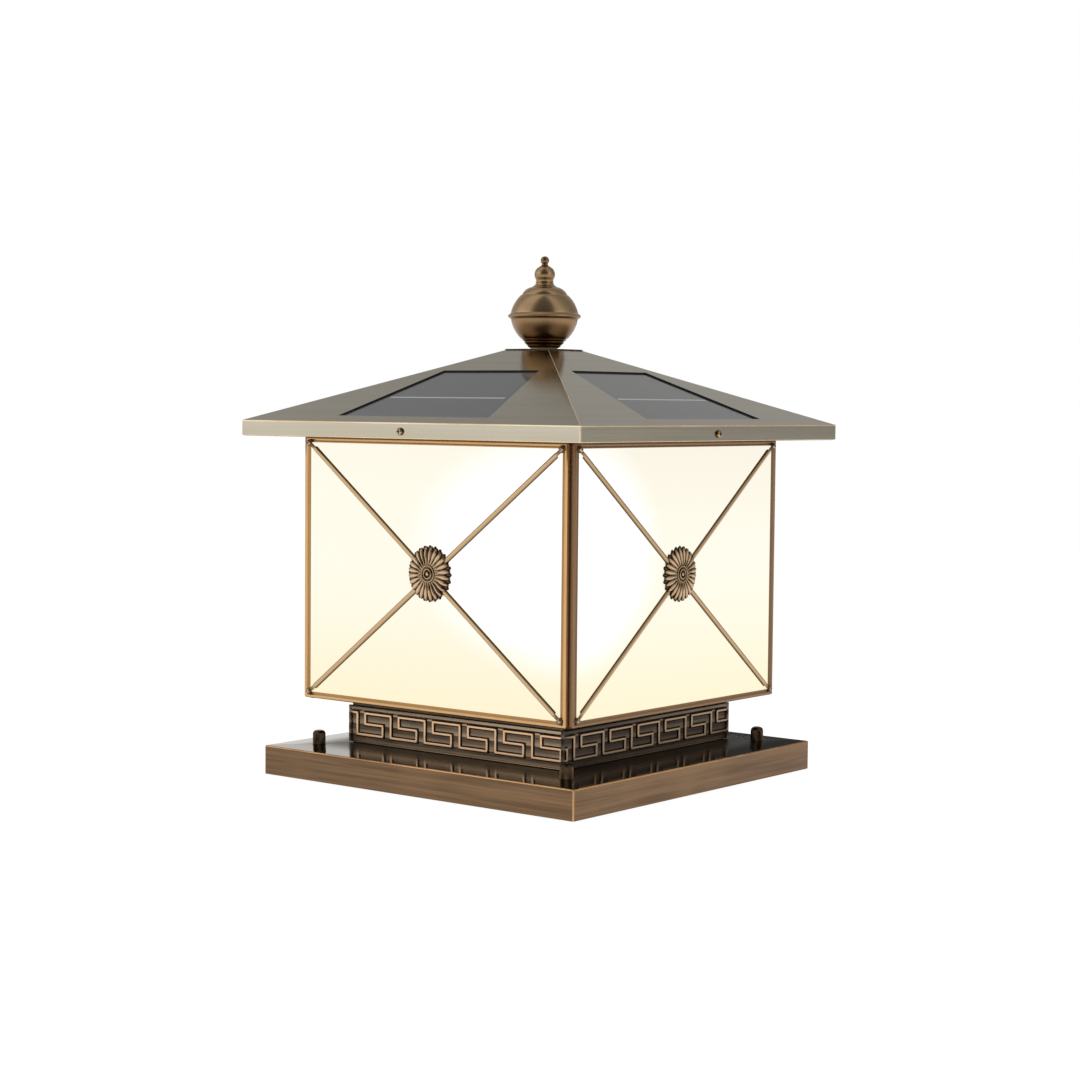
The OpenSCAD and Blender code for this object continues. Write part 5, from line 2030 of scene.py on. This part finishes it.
@dataclass
class CarriedOver(Assembly):
    """CAD nodes whose shape is right and that only get a finish."""

    finishes: dict[str, Finish] = field(default_factory=lambda: {
        # The pedestal shell and the corner posts take the dark bronze partly as painted shade in their gaps.
        "mounting_bracket": ZINC, "pedestal_shell": DARK_BRONZE, "floor_plate": CEILING_BRONZE,
        "corner_posts": DARK_BRONZE, "box_screws": DARK_BRONZE, "glass_clips": ZINC,
        "ceiling_plate": CEILING_BRONZE, "panel_seals": RUBBER, "panel_clips": ZINC, "fascia_nuts": ZINC,
        "inner_bracket": ZINC,
        "battery_box": PLASTIC, "battery_cells": WRAP, "controller_board": BOARD, "switch_housing": PLASTIC,
        "switch_rocker": RED_PLASTIC, "lamp_tube": ZINC, "lamp_holder": PORCELAIN, "bulb_cap": NICKEL,
        "bulb_globe": BULB, "leads": INSULATION, "finial_rod": ZINC})

    def build(self, nodes: dict[str, bpy.types.Object]) -> None:
        """Assigns the finishes.

        Args:
            nodes: The CAD nodes by name.
        """
        for name, finish in self.finishes.items():
            data = nodes[name].data
            if not data.materials:
                data.materials.append(None)
            for slot in range(len(data.materials)):
                data.materials[slot] = self.palette[finish]
            log.info("node %s: %s", name, finish.name)


@dataclass
class Studio:
    """Camera, floor, lamps and the white surroundings."""

    place: Point = (1.32925, -1.65283, 0.35108)
    azimuth: float = 38.4418
    pitch: float = 3.364
    roll: float = 0.546
    lens: float = 74.61
    shift: tuple[float, float] = (-0.01537, -0.00519)
    world_fill: float = 0.5
    floor_size: float = 30.0
    floor_drop: float = 0.0006
    floor_grey: float = 0.82
    floor_glow: float = 1.16
    floor_share: float = 0.8
    dome_radius: float = 6.0
    curtains: tuple[tuple[float, float], ...] = (
        (-180, 0.5), (-150, 0.5), (-125, 0.5), (-100, 1.15), (-58, 1.15), (-38, 0.08), (0, 0.05), (34, 0.07),
        (44, 1.0), (66, 1.0), (84, 0.56), (98, 0.48), (110, 0.36), (140, 0.34), (158, 0.46), (180, 0.5))
    lamps: tuple[tuple[str, Point, float], ...] = (
        ("key_soft_box", (-1.6, -2.2, 1.9), 26.0), ("fill_soft_box", (2.4, 0.4, 1.6), 12.0),
        ("back_soft_box", (-0.6, 2.4, 1.9), 14.0))
    lamp_size: float = 1.8
    lamp_aim: Point = (0.0, 0.0, 0.22)

    def camera(self) -> None:
        """Sets the camera at the photograph's viewing angle."""
        turn = math.radians(self.azimuth)
        dip = math.radians(self.pitch)
        tilt = math.radians(self.roll)
        ahead = Vector((-math.sin(turn) * math.cos(dip), math.cos(turn) * math.cos(dip), -math.sin(dip)))
        right = Vector((math.cos(turn), math.sin(turn), 0.0))
        above = right.cross(ahead)
        x_axis = right * math.cos(tilt) + above * math.sin(tilt)
        y_axis = x_axis.cross(ahead).normalized()
        data = bpy.data.cameras.new("camera")
        data.lens = self.lens
        data.sensor_width = 36.0
        data.sensor_fit = "HORIZONTAL"
        data.shift_x, data.shift_y = self.shift
        data.clip_end = 100.0
        camera = bpy.data.objects.new("camera", data)
        bpy.context.scene.collection.objects.link(camera)
        turned = Matrix((x_axis, y_axis, -ahead)).transposed().to_4x4()
        camera.matrix_world = Matrix.Translation(self.place) @ turned
        bpy.context.scene.camera = camera

    def world(self) -> None:
        """Makes the surroundings white to the eye and softer as a lamp."""
        recipe = Recipe("studio", of_world=True)
        sockets = {0: recipe.looked_at(), 3: self.world_fill, 4: 1.0}
        level = recipe.signal("ShaderNodeMapRange", 0, None, sockets)
        sockets = {"Color": (1.0, 1.0, 1.0, 1.0), "Strength": level}
        bpy.context.scene.world = recipe.end(recipe.node("ShaderNodeBackground", None, sockets))

    def floor(self) -> None:
        """Lays a plain pale floor, which is lighter to the eye than it is as a lamp."""
        Workpiece.clear()
        bpy.ops.mesh.primitive_plane_add(size=self.floor_size, location=(0, 0, -self.floor_drop))
        floor = bpy.context.active_object
        floor.name = "floor"
        recipe = Recipe("pale_floor")
        grey = (self.floor_grey, self.floor_grey, self.floor_grey, 1.0)
        diffuse = recipe.signal("ShaderNodeBsdfDiffuse", 0, None, {"Color": grey})
        glow = recipe.signal("ShaderNodeEmission", 0, None, {"Strength": self.floor_glow})
        share = recipe.looked_at() * self.floor_share
        floor.data.materials.append(
            recipe.end(recipe.node("ShaderNodeMixShader", None, {0: share, 1: diffuse, 2: glow})))

    def dome(self) -> None:
        """Hangs the studio's soft boxes and dark curtains for the metal to mirror."""
        Workpiece.clear()
        bpy.ops.mesh.primitive_uv_sphere_add(segments=48, ring_count=24, radius=self.dome_radius)
        dome = bpy.context.active_object
        dome.name = "reflection_dome"
        recipe = Recipe("studio_surroundings")
        x, y, z = recipe.axes(recipe.place())
        turn = math.radians(self.azimuth)
        side = x * math.cos(turn) + y * math.sin(turn)
        front = x * math.sin(turn) - y * math.cos(turn)
        bearing = side.bearing(front) / math.tau + 0.5
        height = z / self.dome_radius

        def grey(value: float) -> Colour:
            """A grey of one strength, a little warm."""
            return (value, value * 0.99, value * 0.96, 1.0)

        level = recipe.ramp(bearing, [((angle + 180) / 360, grey(value)) for angle, value in self.curtains])
        behind = recipe.mix(grey(0.05), grey(1.0), bearing.rise(0.5, 0.4))
        low_back = abs(bearing - 0.5).rise(0.43, 0.46) * height.rise(0.34, 0.26) * height.rise(0.0, 0.03)
        level = recipe.mix(level, behind, low_back)
        colour = recipe.mix(level, grey(0.2), height.rise(0.28, 0.7) * 0.5)
        surroundings = recipe.end(recipe.node("ShaderNodeEmission", None, {"Color": colour, "Strength": 1.0}))
        surroundings.cycles.emission_sampling = "NONE"
        dome.data.materials.append(surroundings)
        for ray in ("camera", "diffuse", "transmission", "shadow", "volume_scatter"):
            setattr(dome, f"visible_{ray}", False)

    def lamp(self, name: str, place: Point, power: float) -> None:
        """Hangs one soft box that points at the light.

        Args:
            name: The lamp's name.
            place: Where it hangs.
            power: Its power in watts.
        """
        data = bpy.data.lights.new(name, "AREA")
        data.size = self.lamp_size
        data.energy = power
        lamp = bpy.data.objects.new(name, data)
        bpy.context.scene.collection.objects.link(lamp)
        lamp.location = place
        aim = Vector(self.lamp_aim) - Vector(place)
        lamp.rotation_euler = aim.to_track_quat("-Z", "Y").to_euler()
        lamp.visible_glossy = False

    def build(self) -> None:
        """Sets up the whole studio."""
        self.camera()
        self.world()
        self.floor()
        self.dome()
        for name, place, power in self.lamps:
            self.lamp(name, place, power)
        bpy.context.scene.view_settings.view_transform = "Standard"


def main() -> None:
    """Builds the visual model round the frame."""
    logging.basicConfig(level=logging.INFO, format="%(name)s: %(message)s")
    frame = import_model()
    Studio().build()
    palette = Palette()
    CarriedOver(palette).build(frame["nodes"])
    for assembly in (Base, Pedestal, LampBox, Roof, Finial):
        assembly(palette).build()
    Workpiece.clear()


if __name__ == "__main__":
    main()
